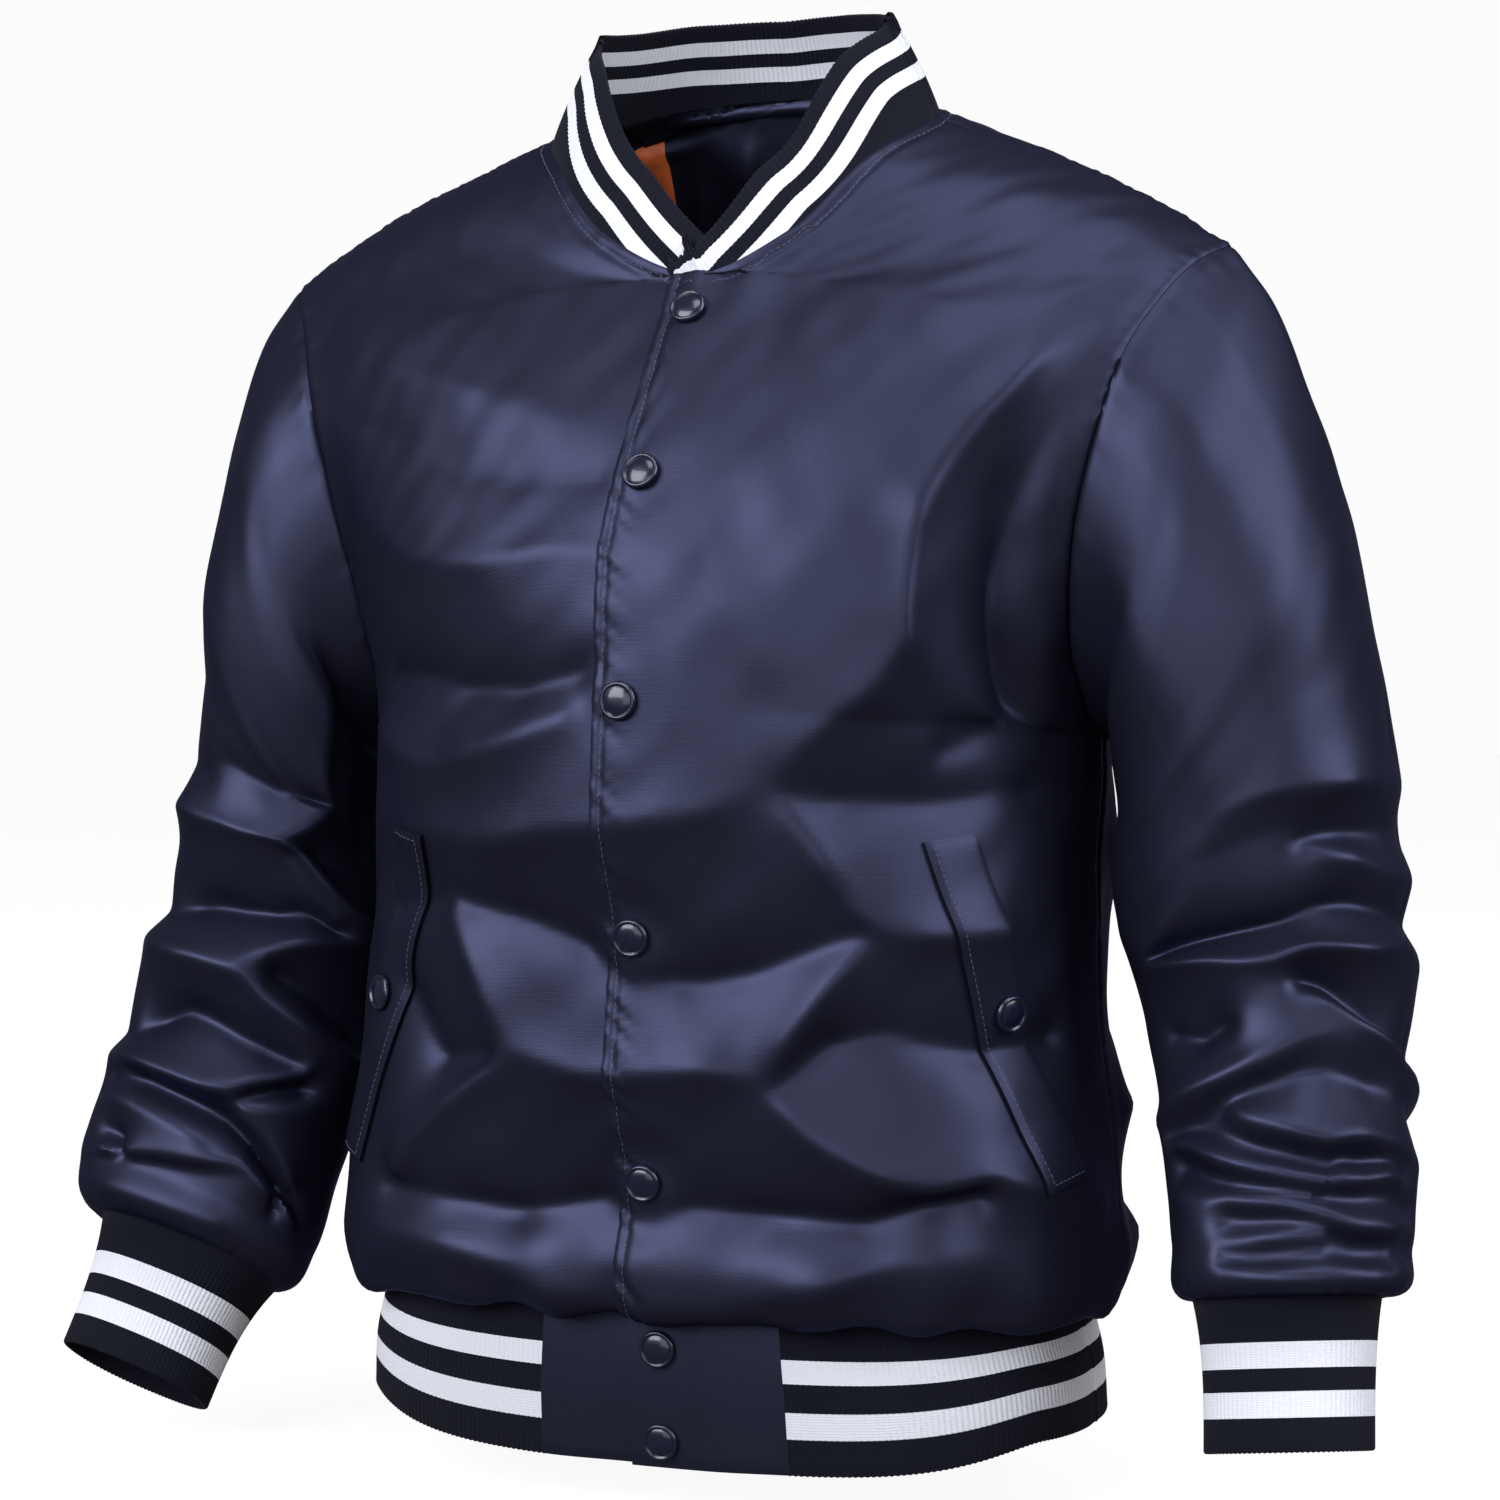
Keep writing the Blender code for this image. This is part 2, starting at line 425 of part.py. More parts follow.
# ---------------------------------------------------------------- folds
# Folds are given by the lines along which the cloth turns: crests stand out and valleys
# lie in, and between them the cloth spans flat, as satin does. Each point is a, h and how
# far the cloth is lifted there. On the torso a runs round from the centre front, positive
# to the wearer's left, and h is the height. On a sleeve a runs round from the outer side
# to the front, and h down the arm.
Turn = namedtuple("Turn", "where points")
TURNS = [
    Turn("torso", (
        (0.280, -0.070, 0.0030), (0.240, -0.100, 0.0060), (0.200, -0.150, 0.0080),
        (0.180, -0.180, 0.0090), (0.160, -0.240, 0.0080), (0.120, -0.275, 0.0070),
        (0.090, -0.300, 0.0050), (0.075, -0.318, 0.0030), (0.040, -0.330, 0.0050),
        (0.000, -0.335, 0.0050), (-0.080, -0.343, 0.0040), (-0.140, -0.340, 0.0030),
    )),
    Turn("torso", (
        (0.270, -0.305, -0.0030), (0.220, -0.315, -0.0060), (0.160, -0.323, -0.0050),
        (0.110, -0.324, -0.0020), (0.080, -0.323, 0.0020),
    )),
    Turn("torso", (
        (0.080, -0.326, 0.0030), (0.100, -0.350, 0.0040), (0.120, -0.375, 0.0030),
        (0.150, -0.382, 0.0040), (0.200, -0.380, 0.0020),
    )),
    Turn("torso", (
        (0.120, -0.380, 0.0010), (0.090, -0.390, -0.0030), (0.060, -0.400, -0.0050),
        (0.030, -0.405, -0.0050), (0.000, -0.400, -0.0040), (-0.030, -0.388, -0.0050),
        (-0.060, -0.377, -0.0040), (-0.110, -0.370, -0.0020), (-0.160, -0.375, -0.0030),
    )),
    Turn("torso", (
        (0.120, -0.385, 0.0020), (0.100, -0.405, 0.0020), (0.080, -0.430, 0.0030),
        (0.070, -0.447, 0.0020), (0.040, -0.440, 0.0040), (0.000, -0.445, 0.0040),
        (-0.030, -0.446, 0.0040), (-0.070, -0.436, 0.0030), (-0.090, -0.400, 0.0020),
        (-0.110, -0.372, -0.0010),
    )),
    Turn("torso", (
        (0.240, -0.430, -0.0050), (0.180, -0.435, -0.0050), (0.130, -0.425, -0.0040),
        (0.100, -0.430, -0.0030), (0.073, -0.450, 0.0010),
    )),
    Turn("torso", (
        (0.070, -0.452, 0.0020), (0.090, -0.470, 0.0030), (0.120, -0.485, 0.0040),
        (0.150, -0.495, 0.0030), (0.180, -0.490, 0.0050), (0.220, -0.500, 0.0050),
        (0.270, -0.510, 0.0040),
    )),
    Turn("torso", (
        (0.150, -0.498, 0.0010), (0.120, -0.510, -0.0020), (0.080, -0.513, -0.0040),
        (0.040, -0.508, -0.0050), (0.000, -0.500, -0.0050), (-0.050, -0.503, -0.0050),
        (-0.100, -0.505, -0.0040), (-0.150, -0.503, -0.0020),
    )),
    Turn("torso", (
        (0.270, -0.530, 0.0030), (0.150, -0.528, 0.0040), (0.100, -0.532, 0.0050),
        (0.040, -0.535, 0.0050), (-0.060, -0.529, 0.0040), (-0.120, -0.529, 0.0040),
        (-0.200, -0.530, 0.0030),
    )),
    Turn("torso", (
        (-0.260, -0.070, 0.0030), (-0.200, -0.100, 0.0040), (-0.140, -0.125, 0.0050),
        (-0.080, -0.145, 0.0050), (-0.030, -0.155, 0.0030),
    )),
    Turn("torso", (
        (-0.260, -0.110, 0.0000), (-0.200, -0.135, -0.0010), (-0.140, -0.160, -0.0010),
        (-0.080, -0.175, 0.0000), (-0.030, -0.180, 0.0010),
    )),
    Turn("torso", (
        (-0.270, -0.140, 0.0040), (-0.220, -0.170, 0.0050), (-0.160, -0.200, 0.0060),
        (-0.100, -0.215, 0.0060), (-0.040, -0.215, 0.0050), (0.000, -0.220, 0.0040),
        (0.050, -0.220, 0.0030),
    )),
    Turn("torso", (
        (-0.180, -0.255, -0.0030), (-0.140, -0.263, -0.0040), (-0.100, -0.275, -0.0040),
        (-0.060, -0.280, -0.0030), (-0.030, -0.273, -0.0020), (0.000, -0.270, 0.0000),
    )),
    Turn("torso", (
        (-0.180, -0.285, 0.0030), (-0.140, -0.305, 0.0040), (-0.110, -0.310, 0.0040),
        (-0.070, -0.302, 0.0040), (-0.030, -0.292, 0.0030),
    )),
    Turn("torso", (
        (-0.150, -0.410, -0.0040), (-0.120, -0.445, -0.0040), (-0.080, -0.442, 0.0000),
    )),
    Turn("torso", (
        (-0.075, -0.440, 0.0030), (-0.110, -0.465, 0.0030), (-0.150, -0.500, 0.0020),
    )),
    Turn("torso", (
        (0.340, -0.120, 0.0030), (0.410, -0.190, 0.0050), (0.490, -0.250, 0.0050),
        (0.580, -0.260, 0.0040), (-0.500, -0.240, 0.0050), (-0.420, -0.170, 0.0050),
        (-0.350, -0.110, 0.0030),
    )),
    Turn("torso", (
        (0.310, -0.270, -0.0030), (0.380, -0.300, -0.0050), (0.450, -0.320, -0.0040),
        (0.520, -0.310, 0.0000),
    )),
    Turn("torso", (
        (-0.310, -0.250, -0.0030), (-0.370, -0.280, -0.0050), (-0.440, -0.310, -0.0040),
        (-0.510, -0.320, 0.0000),
    )),
    Turn("torso", (
        (0.310, -0.340, 0.0030), (0.380, -0.365, 0.0050), (0.450, -0.360, 0.0040),
        (0.520, -0.335, 0.0030), (0.580, -0.330, 0.0030), (-0.500, -0.350, 0.0040),
        (-0.430, -0.370, 0.0050), (-0.340, -0.350, 0.0030),
    )),
    Turn("torso", (
        (0.330, -0.420, -0.0040), (0.410, -0.430, -0.0050), (0.490, -0.400, -0.0040),
        (0.560, -0.385, -0.0040), (-0.530, -0.400, -0.0050), (-0.440, -0.430, -0.0050),
        (-0.350, -0.410, -0.0030),
    )),
    Turn("torso", (
        (0.310, -0.470, 0.0040), (0.400, -0.475, 0.0040), (0.480, -0.455, 0.0040),
        (0.560, -0.450, 0.0040), (-0.530, -0.460, 0.0040), (-0.430, -0.470, 0.0050),
        (-0.330, -0.460, 0.0030),
    )),
    Turn("torso", (
        (0.340, -0.505, -0.0030), (0.440, -0.508, -0.0050), (0.540, -0.502, -0.0040),
        (-0.540, -0.503, -0.0050), (-0.440, -0.507, -0.0040), (-0.340, -0.504, -0.0030),
    )),
    Turn("torso", (
        (0.270, -0.530, 0.0030), (0.360, -0.532, 0.0040), (0.480, -0.532, 0.0050),
        (0.580, -0.530, 0.0040), (-0.480, -0.532, 0.0050), (-0.340, -0.530, 0.0040),
        (-0.200, -0.530, 0.0030),
    )),
    Turn("left_sleeve", (
        (0.125, 0.030, 0.0030), (0.120, 0.080, 0.0040), (0.110, 0.140, 0.0050),
        (0.100, 0.195, 0.0050), (0.080, 0.198, 0.0060), (0.050, 0.193, 0.0060),
        (0.020, 0.205, 0.0050), (-0.020, 0.210, 0.0040), (-0.060, 0.190, 0.0020),
    )),
    Turn("left_sleeve", (
        (0.100, 0.200, 0.0050), (0.120, 0.235, 0.0020), (0.140, 0.265, 0.0000),
    )),
    Turn("left_sleeve", (
        (0.130, 0.270, -0.0030), (0.100, 0.270, -0.0030), (0.070, 0.260, -0.0040),
        (0.050, 0.246, -0.0040), (0.020, 0.240, -0.0040), (-0.020, 0.240, -0.0040),
        (-0.070, 0.250, -0.0030),
    )),
    Turn("left_sleeve", (
        (0.160, 0.283, 0.0020), (0.130, 0.289, 0.0030), (0.100, 0.285, 0.0040),
        (0.070, 0.278, 0.0050), (0.040, 0.277, 0.0050), (0.010, 0.282, 0.0040),
        (-0.030, 0.285, 0.0040), (-0.090, 0.280, 0.0030),
    )),
    Turn("left_sleeve", (
        (0.150, 0.320, -0.0040), (0.110, 0.315, -0.0040), (0.080, 0.303, -0.0030),
        (0.050, 0.313, -0.0030), (0.020, 0.318, -0.0040), (-0.030, 0.315, -0.0040),
        (-0.090, 0.315, -0.0030),
    )),
    Turn("left_sleeve", (
        (0.090, 0.310, 0.0010), (0.060, 0.328, 0.0030), (0.030, 0.336, 0.0030),
        (-0.010, 0.340, 0.0030), (-0.060, 0.340, 0.0030),
    )),
    Turn("left_sleeve", (
        (0.180, 0.365, 0.0030), (0.150, 0.360, 0.0030), (0.120, 0.350, 0.0030),
        (0.090, 0.346, 0.0020), (0.060, 0.356, 0.0030), (0.030, 0.363, 0.0020),
    )),
    Turn("left_sleeve", (
        (0.160, 0.376, -0.0020), (0.130, 0.368, -0.0030), (0.100, 0.373, -0.0030),
        (0.070, 0.376, -0.0030), (0.030, 0.375, -0.0030), (-0.020, 0.373, -0.0030),
        (-0.080, 0.370, -0.0030),
    )),
    Turn("left_sleeve", (
        (0.170, 0.390, 0.0020), (0.130, 0.392, 0.0030), (0.090, 0.394, 0.0030),
        (0.050, 0.396, 0.0030), (0.010, 0.394, 0.0030), (-0.050, 0.395, 0.0030),
    )),
    Turn("right_sleeve", (
        (0.145, 0.040, 0.0030), (0.158, 0.090, 0.0040), (0.162, 0.130, 0.0020),
    )),
    Turn("right_sleeve", (
        (0.160, 0.135, 0.0010), (0.120, 0.165, -0.0010), (0.080, 0.190, -0.0010),
        (0.040, 0.205, 0.0000),
    )),
    Turn("right_sleeve", (
        (0.155, 0.160, 0.0040), (0.140, 0.190, 0.0050), (0.110, 0.203, 0.0050),
        (0.080, 0.215, 0.0050), (0.040, 0.230, 0.0050), (0.000, 0.230, 0.0040),
        (-0.050, 0.210, 0.0020),
    )),
    Turn("right_sleeve", (
        (0.140, 0.192, 0.0040), (0.160, 0.225, 0.0030), (0.180, 0.250, 0.0020),
    )),
    Turn("right_sleeve", (
        (0.155, 0.255, -0.0030), (0.130, 0.263, -0.0040), (0.090, 0.268, -0.0040),
        (0.045, 0.275, -0.0050), (0.000, 0.270, -0.0040), (-0.070, 0.260, -0.0030),
    )),
    Turn("right_sleeve", (
        (0.165, 0.278, 0.0020), (0.140, 0.293, 0.0030), (0.113, 0.308, 0.0040),
        (0.080, 0.305, 0.0040), (0.040, 0.300, 0.0050), (0.000, 0.300, 0.0040),
        (-0.070, 0.295, 0.0030),
    )),
    Turn("right_sleeve", (
        (0.115, 0.308, 0.0040), (0.140, 0.320, 0.0030), (0.170, 0.327, 0.0020),
    )),
    Turn("right_sleeve", (
        (0.140, 0.338, -0.0030), (0.110, 0.332, -0.0040), (0.080, 0.325, -0.0040),
        (0.040, 0.330, -0.0040), (0.000, 0.330, -0.0040), (-0.070, 0.325, -0.0030),
    )),
    Turn("right_sleeve", (
        (0.155, 0.346, 0.0020), (0.120, 0.357, 0.0040), (0.080, 0.356, 0.0040),
        (0.035, 0.353, 0.0030), (-0.020, 0.355, 0.0040), (-0.080, 0.355, 0.0030),
    )),
    Turn("right_sleeve", (
        (0.180, 0.370, -0.0020), (0.150, 0.382, -0.0030), (0.120, 0.373, -0.0030),
        (0.080, 0.370, -0.0040), (0.040, 0.378, -0.0030), (-0.030, 0.378, -0.0030),
        (-0.090, 0.380, -0.0030),
    )),
    Turn("right_sleeve", (
        (0.170, 0.395, 0.0030), (0.130, 0.403, 0.0040), (0.090, 0.403, 0.0050),
        (0.040, 0.402, 0.0040), (-0.030, 0.405, 0.0030),
    )),
]
SLEEVE_GIRTH = 0.42
TORSO_GIRTH = 4 * TORSO_WIDTH
TORSO_HEIGHTS = (-0.60, 0.08)
SLEEVE_HEIGHTS = (-0.04, 0.50)
RELIEF_STEPS = (0.029, 0.0145, 0.00725)  # each grid halves the cells of the one before
RELIEF_ROUNDS = 60
RELIEF_REACH = 0.07  # lifts die out over this distance from the lines
# Gathers along the hem: waves round, how high they stand, and where they start.
Gather = namedtuple("Gather", "waves rise start")
HEM_GATHERS = (Gather(17, 0.0016, 0.3), Gather(23, 0.0008, 1.9))
HEM_GATHER_FADE = (-0.552, -0.47)
UNDERARM_CALM = (0.015, 0.06)  # folds grow over this distance from the side seam
UNDERARM_CALM_HEIGHTS = (-0.44, -0.38)  # above these heights


class Relief:
    """How far the cloth is lifted, on a grid that is wrapped round the body or the arm."""

    def __init__(self, where, girth, heights):
        self.girth = girth
        self.foot = heights[0]
        self.cell = heights[1] - heights[0]
        self.field = np.zeros((2, 2))
        for step in RELIEF_STEPS:
            self.columns = round(girth / step)
            self.rows = round((heights[1] - heights[0]) / step) + 1
            self.step = step
            a, h = np.meshgrid(
                np.arange(self.columns) * girth / self.columns, self.foot + np.arange(self.rows) * step
            )
            start = self.read(a, h)
            held, value = self.lines(where)
            spring = 4.0 + (step / RELIEF_REACH) ** 2
            for _ in range(RELIEF_ROUNDS):
                level = np.vstack([start[:1], start, start[-1:]])
                beside = np.roll(start, 1, axis=1) + np.roll(start, -1, axis=1)
                start = (level[:-2] + level[2:] + beside) / spring
                start[held] = value[held]
            self.field = start
            self.cell = step

    def lines(self, where):
        """Which cells the lines cross, and the lift there."""
        total = np.zeros((self.rows, self.columns))
        count = np.zeros((self.rows, self.columns))
        for turn in TURNS:
            if turn.where == where:
                for start, end in zip(turn.points[:-1], turn.points[1:]):
                    start = np.array(start)
                    run = np.array(end) - start
                    run[0] = (run[0] + self.girth / 2) % self.girth - self.girth / 2
                    shares = np.linspace(0.0, 1.0, 2 + int(2 * np.hypot(run[0], run[1]) / self.step))
                    places = start + shares[:, None] * run
                    column = np.round(places[:, 0] / self.girth * self.columns).astype(int) % self.columns
                    row = np.round((places[:, 1] - self.foot) / self.step).astype(int)
                    np.add.at(total, (row, column), places[:, 2])
                    np.add.at(count, (row, column), 1.0)
        return count > 0, total / np.maximum(count, 1.0)

    def read(self, a, h):
        rows, columns = self.field.shape
        across = (np.asarray(a) / self.girth * columns) % columns
        up = np.clip((np.asarray(h) - self.foot) / self.cell, 0, rows - 1.001)
        c = across.astype(int) % columns
        r = up.astype(int)
        u = up - r
        v = across - np.floor(across)
        low = self.field[r, c] * (1 - v) + self.field[r, (c + 1) % columns] * v
        high = self.field[r + 1, c] * (1 - v) + self.field[r + 1, (c + 1) % columns] * v
        return low * (1 - u) + high * u


# ---------------------------------------------------------------- torso panels
def lap_lift(points, level):
    """The lift of a front near the centre line, level being 1 on top and -1 below."""
    return level * LAP_LIFT / 2 * (1.0 - smoothstep(points[..., 0], LAP_START, LAP_END))


def torso_lift(half, a, relief):
    h = np.broadcast_to(half.heights[:, None], a.shape)
    lift = relief.read(a, h)
    for height in FRONT_SNAP_HEIGHTS:
        away = np.hypot(a, half.points[..., 2] - height) + 2 * (half.points[..., 1] > 0)
        calm = smoothstep(away, SNAP_RADIUS, SNAP_CALM)
        centre = half.points[: half.neck, half.strip, 2]
        level = relief.read(0.0, np.interp(height, centre, half.heights[: half.neck]))
        lift = lift * calm + level * (1.0 - calm)
    side = smoothstep(np.abs(np.abs(a) - TORSO_WIDTH), *UNDERARM_CALM)
    lift = lift * (1.0 - (1.0 - side) * smoothstep(h, *UNDERARM_CALM_HEIGHTS))
    turns = a / (2 * TORSO_WIDTH) * math.pi
    fade = 1.0 - smoothstep(half.points[..., 2], *HEM_GATHER_FADE)
    waves = sum(g.rise * np.sin(g.waves * turns + g.start) for g in HEM_GATHERS)
    return (lift + waves * fade) * smoothstep(np.arange(half.rows + 1), 0, 2)[:, None]


def front_points(half, side, relief):
    """The outer points of one front, side being 1 for the wearer's left."""
    normals = grid_normals(half.points, half.quads())
    lift = torso_lift(half, side * half.around * TORSO_WIDTH, relief)
    lap_way = normals.copy()
    lap_way[:SAG_ROWS] = normals[SAG_ROWS]
    lapped = lap_way * lap_lift(half.points, side)[..., None]
    return half.points + normals * lift[..., None] + lapped


def back_points(half, side, relief):
    normals = -grid_normals(half.points, half.quads())
    lift = torso_lift(half, side * (2.0 - half.around) * TORSO_WIDTH, relief)
    return half.points + normals * lift[..., None]


def meet(front, back, half):
    """Brings the side seam and the shoulder seam of two panels together."""
    side = (front[: half.under + 1, -1] + back[: half.under + 1, -1]) / 2
    front[: half.under + 1, -1] = side
    back[: half.under + 1, -1] = side
    shoulder = (front[-1, -HALF_COLUMNS - 1 :] + back[-1]) / 2
    front[-1, -HALF_COLUMNS - 1 :] = shoulder
    back[-1] = shoulder


def placed(points, side):
    """Points of a left piece on the given side of the wearer."""
    return points * (side, 1, 1)


def welded(points, quads):
    """One list of points out of several that share some."""
    keys = {}
    place = np.array([keys.setdefault(tuple(np.round(p, 6)), len(keys)) for p in points])
    merged = np.zeros((len(keys), 3))
    merged[place] = points
    return merged, place[quads]


# ---------------------------------------------------------------- sleeves and cuffs
def sleeve_ring(ring, axis, angles):
    """The section of a sleeve at angles from its outermost point round to the front."""
    outermost = np.array((ring.x_out, ring.y_out, ring.z_out))
    innermost = np.array((ring.x_in, ring.y_in, ring.z_in))
    middle = (outermost + innermost) / 2
    width = (outermost - innermost) / 2
    ahead = unit(np.cross(axis, width))
    ahead = ahead * -np.sign(ahead[1])
    cos = np.cos(angles)
    sin = np.sin(angles)
    power = 2.0 / SQUARENESS
    out = np.sign(cos) * np.abs(cos) ** power
    front = np.sign(sin) * np.abs(sin) ** power
    return middle + out[:, None] * width + front[:, None] * ahead * ring.depth


def ring_middle(ring):
    outermost = np.array((ring.x_out, ring.y_out, ring.z_out))
    return (outermost + (ring.x_in, ring.y_in, ring.z_in)) / 2


def ring_places(rings):
    """The distance down the arm of each ring, and of each grid row."""
    middles = np.array([ring_middle(ring) for ring in rings])
    outers = np.array([(ring.x_out, ring.y_out, ring.z_out) for ring in rings])
    steps = np.linalg.norm(np.diff(middles, axis=0), axis=1)
    steps += np.linalg.norm(np.diff(outers, axis=0), axis=1)
    knots = np.concatenate([[0.0], np.cumsum(steps / 2)])
    places = []
    for index, ring in enumerate(rings[:-1]):
        cells = np.arange(ring.cells) / ring.cells
        places.extend(knots[index] + (knots[index + 1] - knots[index]) * cells)
    return knots, np.array(places + [knots[-1]])


def armhole_angles(armhole, front_cells):
    """The share of the way round at each armhole point, as an angle."""
    closed = np.vstack([armhole, armhole[:1]])
    marks = np.concatenate([[0.0], np.cumsum(np.linalg.norm(np.diff(closed, axis=0), axis=1))])
    under = marks[front_cells]
    first = marks[: front_cells + 1] / under * math.pi
    second = math.pi + (marks[front_cells + 1 : -1] - under) / (marks[-1] - under) * math.pi
    return np.concatenate([first, second])


def sleeve_points(rings, armhole, front_cells, where, cuff_axis):
    knots, places = ring_places(rings)
    values = through(knots, [r[:7] for r in rings], places)
    sections = [Ring(*value, 0) for value in values]
    middles = np.array([ring_middle(section) for section in sections])
    axes = unit(np.gradient(middles, axis=0))
    turn = smoothstep(places, places[-1] - CUFF_TURN, places[-1])[:, None]
    axes = unit(axes * (1.0 - turn) + np.array(cuff_axis) * turn)
    angles = armhole_angles(armhole, front_cells)
    grid = np.array([sleeve_ring(s, axis, angles) for s, axis in zip(sections, axes)])
    normals = grid_normals(grid, grid_quads(len(grid) - 1, len(angles), wrap=True))
    a = np.broadcast_to(angles / (2 * math.pi) * SLEEVE_GIRTH, grid.shape[:2])
    h = np.broadcast_to(places[:, None], a.shape)
    lift = Relief(where, SLEEVE_GIRTH, SLEEVE_HEIGHTS).read(a, h)
    lift = lift * smoothstep(np.arange(len(places)), 0, 2)[:, None]
    lift = lift * smoothstep(len(places) - 1 - np.arange(len(places)), 0, 2)[:, None]
    grid = grid + normals * lift[..., None]
    fade = 1.0 - smoothstep(places, 0.0, CAP_BLEND)
    return grid + (armhole - grid[0]) * fade[:, None, None], angles


def cuff_points(top, end, axis, angles):
    """The rows of a cuff, from its seam to its end."""
    last = sleeve_ring(end, axis, angles)
    start_middle = top.mean(0)
    end_middle = last.mean(0)
    shares = np.linspace(0.0, 1.0, CUFF_CELLS + 1)[:, None, None]
    drawn = 1.0 - (1.0 - shares) ** CUFF_DRAW
    middles = start_middle + (end_middle - start_middle) * shares
    return middles + (top - start_middle) * (1.0 - drawn) + (last - end_middle) * drawn


# ---------------------------------------------------------------- rib bands
def hem_points(seam):
    """The rows of the hem band under the seam points."""
    rows = [seam]
    for row in HEM:
        depth = np.where(seam[:, 1] < 0, row.front, row.back)
        height = row.z_front + (row.z_back - row.z_front) * smoothstep(seam[:, 1], HEM_FRONT_Y, HEM_BACK_Y)
        rows.append(np.stack([seam[:, 0] * row.width, seam[:, 1] * depth, height], -1))
    return np.array(rows)


def collar_points(neckline, around):
    """The rows of the collar above the neckline, which runs round to the wearer's right."""
    above, inside, ahead = through([s.around for s in COLLAR], [s[1:] for s in COLLAR], around).T
    onward = np.gradient(neckline, axis=0)
    outward = unit(np.stack([onward[:, 1], -onward[:, 0], np.zeros(len(neckline))], -1))
    frontward = unit(onward) * -np.sign(np.gradient(around))[:, None]
    rise = above[:, None] * (0, 0, 1) - inside[:, None] * outward + ahead[:, None] * frontward
    rows = []
    for share in np.linspace(0.0, 1.0, COLLAR_CELLS + 1):
        swell = 4 * share * (1 - share) * COLLAR_SWELL
        rows.append(neckline + rise * share + outward * swell)
    return np.array(rows)


# ---------------------------------------------------------------- pieces on the panels
class Surface:
    """A grid of points that can be read between its rows and columns."""

    def __init__(self, points):
        self.points = points

    def at(self, row, column):
        rows, columns = self.points.shape[:2]
        row = np.clip(row, 0, rows - 1)
        column = np.clip(column, 0, columns - 1)
        r = min(int(row), rows - 2)
        c = min(int(column), columns - 2)
        u = row - r
        v = column - c
        low = self.points[r, c] * (1 - v) + self.points[r, c + 1] * v
        high = self.points[r + 1, c] * (1 - v) + self.points[r + 1, c + 1] * v
        return low * (1 - u) + high * u

    def normal(self, row, column):
        across = self.at(row, column + 0.5) - self.at(row, column - 0.5)
        upward = self.at(row + 0.5, column) - self.at(row - 0.5, column)
        return unit(np.cross(across, upward))

    def seat(self, row, column, radius, outward):
        """Where a disc of this radius rests: its middle and its axis."""
        normal = self.normal(row, column) * outward
        middle = self.at(row, column)
        across = np.linalg.norm(self.at(row, column + 0.5) - self.at(row, column - 0.5))
        upward = np.linalg.norm(self.at(row + 0.5, column) - self.at(row - 0.5, column))
        highest = 0.0
        for turn in np.arange(0.0, 2 * math.pi, math.pi / 8):
            for share in (0.5, 1.0):
                point = self.at(
                    row + math.sin(turn) * radius * share / upward,
                    column + math.cos(turn) * radius * share / across,
                )
                highest = max(highest, (point - middle) @ normal)
        return middle + normal * (highest + GAP), normal


def snap_mesh():
    """A snap cap as a turned dome with a rim and a shallow ring."""
    rings = [
        [(radius * math.cos(turn), radius * math.sin(turn), height) for turn in SNAP_TURNS]
        for radius, height in SNAP_PROFILE
    ]
    points = [point for ring in rings for point in ring]
    points.append((0.0, 0.0, SNAP_DOME))
    faces = [list(quad) for quad in grid_quads(len(rings) - 1, SNAP_SIDES, wrap=True)]
    top = (len(rings) - 1) * SNAP_SIDES
    faces += [[top + i, top + (i + 1) % SNAP_SIDES, len(points) - 1] for i in range(SNAP_SIDES)]
    faces.append(list(range(SNAP_SIDES))[::-1])
    return points, faces


def add_snap(name, middle, normal):
    points, faces = snap_mesh()
    made = add_object(name, points, faces, "snap")
    made.rotation_euler = Vector(normal).to_track_quat("Z", "Y").to_euler()
    made.location = middle


def welt_points(half, front, side, shift):
    """The outer points of a pocket welt, read from the front that it lies on."""
    surface = Surface(front)
    rows = []
    for up in np.linspace(0.0, 1.0, WELT_ROWS + 1):
        row = []
        for across in np.linspace(0.0, 1.0, WELT_COLUMNS + 1):
            spot = [
                (1 - up) * ((1 - across) * foot_in + across * foot_out)
                + up * ((1 - across) * top_in + across * top_out)
                for foot_in, foot_out, top_in, top_out in zip(*WELT_CORNERS)
            ]
            place = np.interp(spot[1], half.heights, np.arange(half.rows + 1))
            column = half.strip + (spot[0] + shift) / TORSO_WIDTH * HALF_COLUMNS
            normal = surface.normal(place, column) * side
            row.append(surface.at(place, column) + normal * (WELT_LIFT + CLOTH))
        rows.append(row)
    return np.array(rows)


def lining_points(back, faces):
    """The seen side of the lining panel, which lies on the inside of the back's wall."""
    tree = BVHTree.FromPolygons([Vector(point) for point in back], faces)
    rows = []
    for down in np.linspace(0.0, 1.0, LINING_ROWS + 1):
        row = []
        for across in np.linspace(0.0, 1.0, LINING_COLUMNS + 1):
            x = LINING_NEAR_X + (LINING_FAR_X - LINING_NEAR_X) * across
            top = LINING_NEAR_TOP + (LINING_FAR_TOP - LINING_NEAR_TOP) * across
            start = Vector((x, 0.0, top + (LINING_FOOT - top) * down))
            hit, normal, _, _ = tree.ray_cast(start, Vector((0.0, 1.0, 0.0)))
            row.append(np.array(hit) + np.array(normal) * (LINING_LIFT + LINING))
        rows.append(row)
    return np.array(rows)


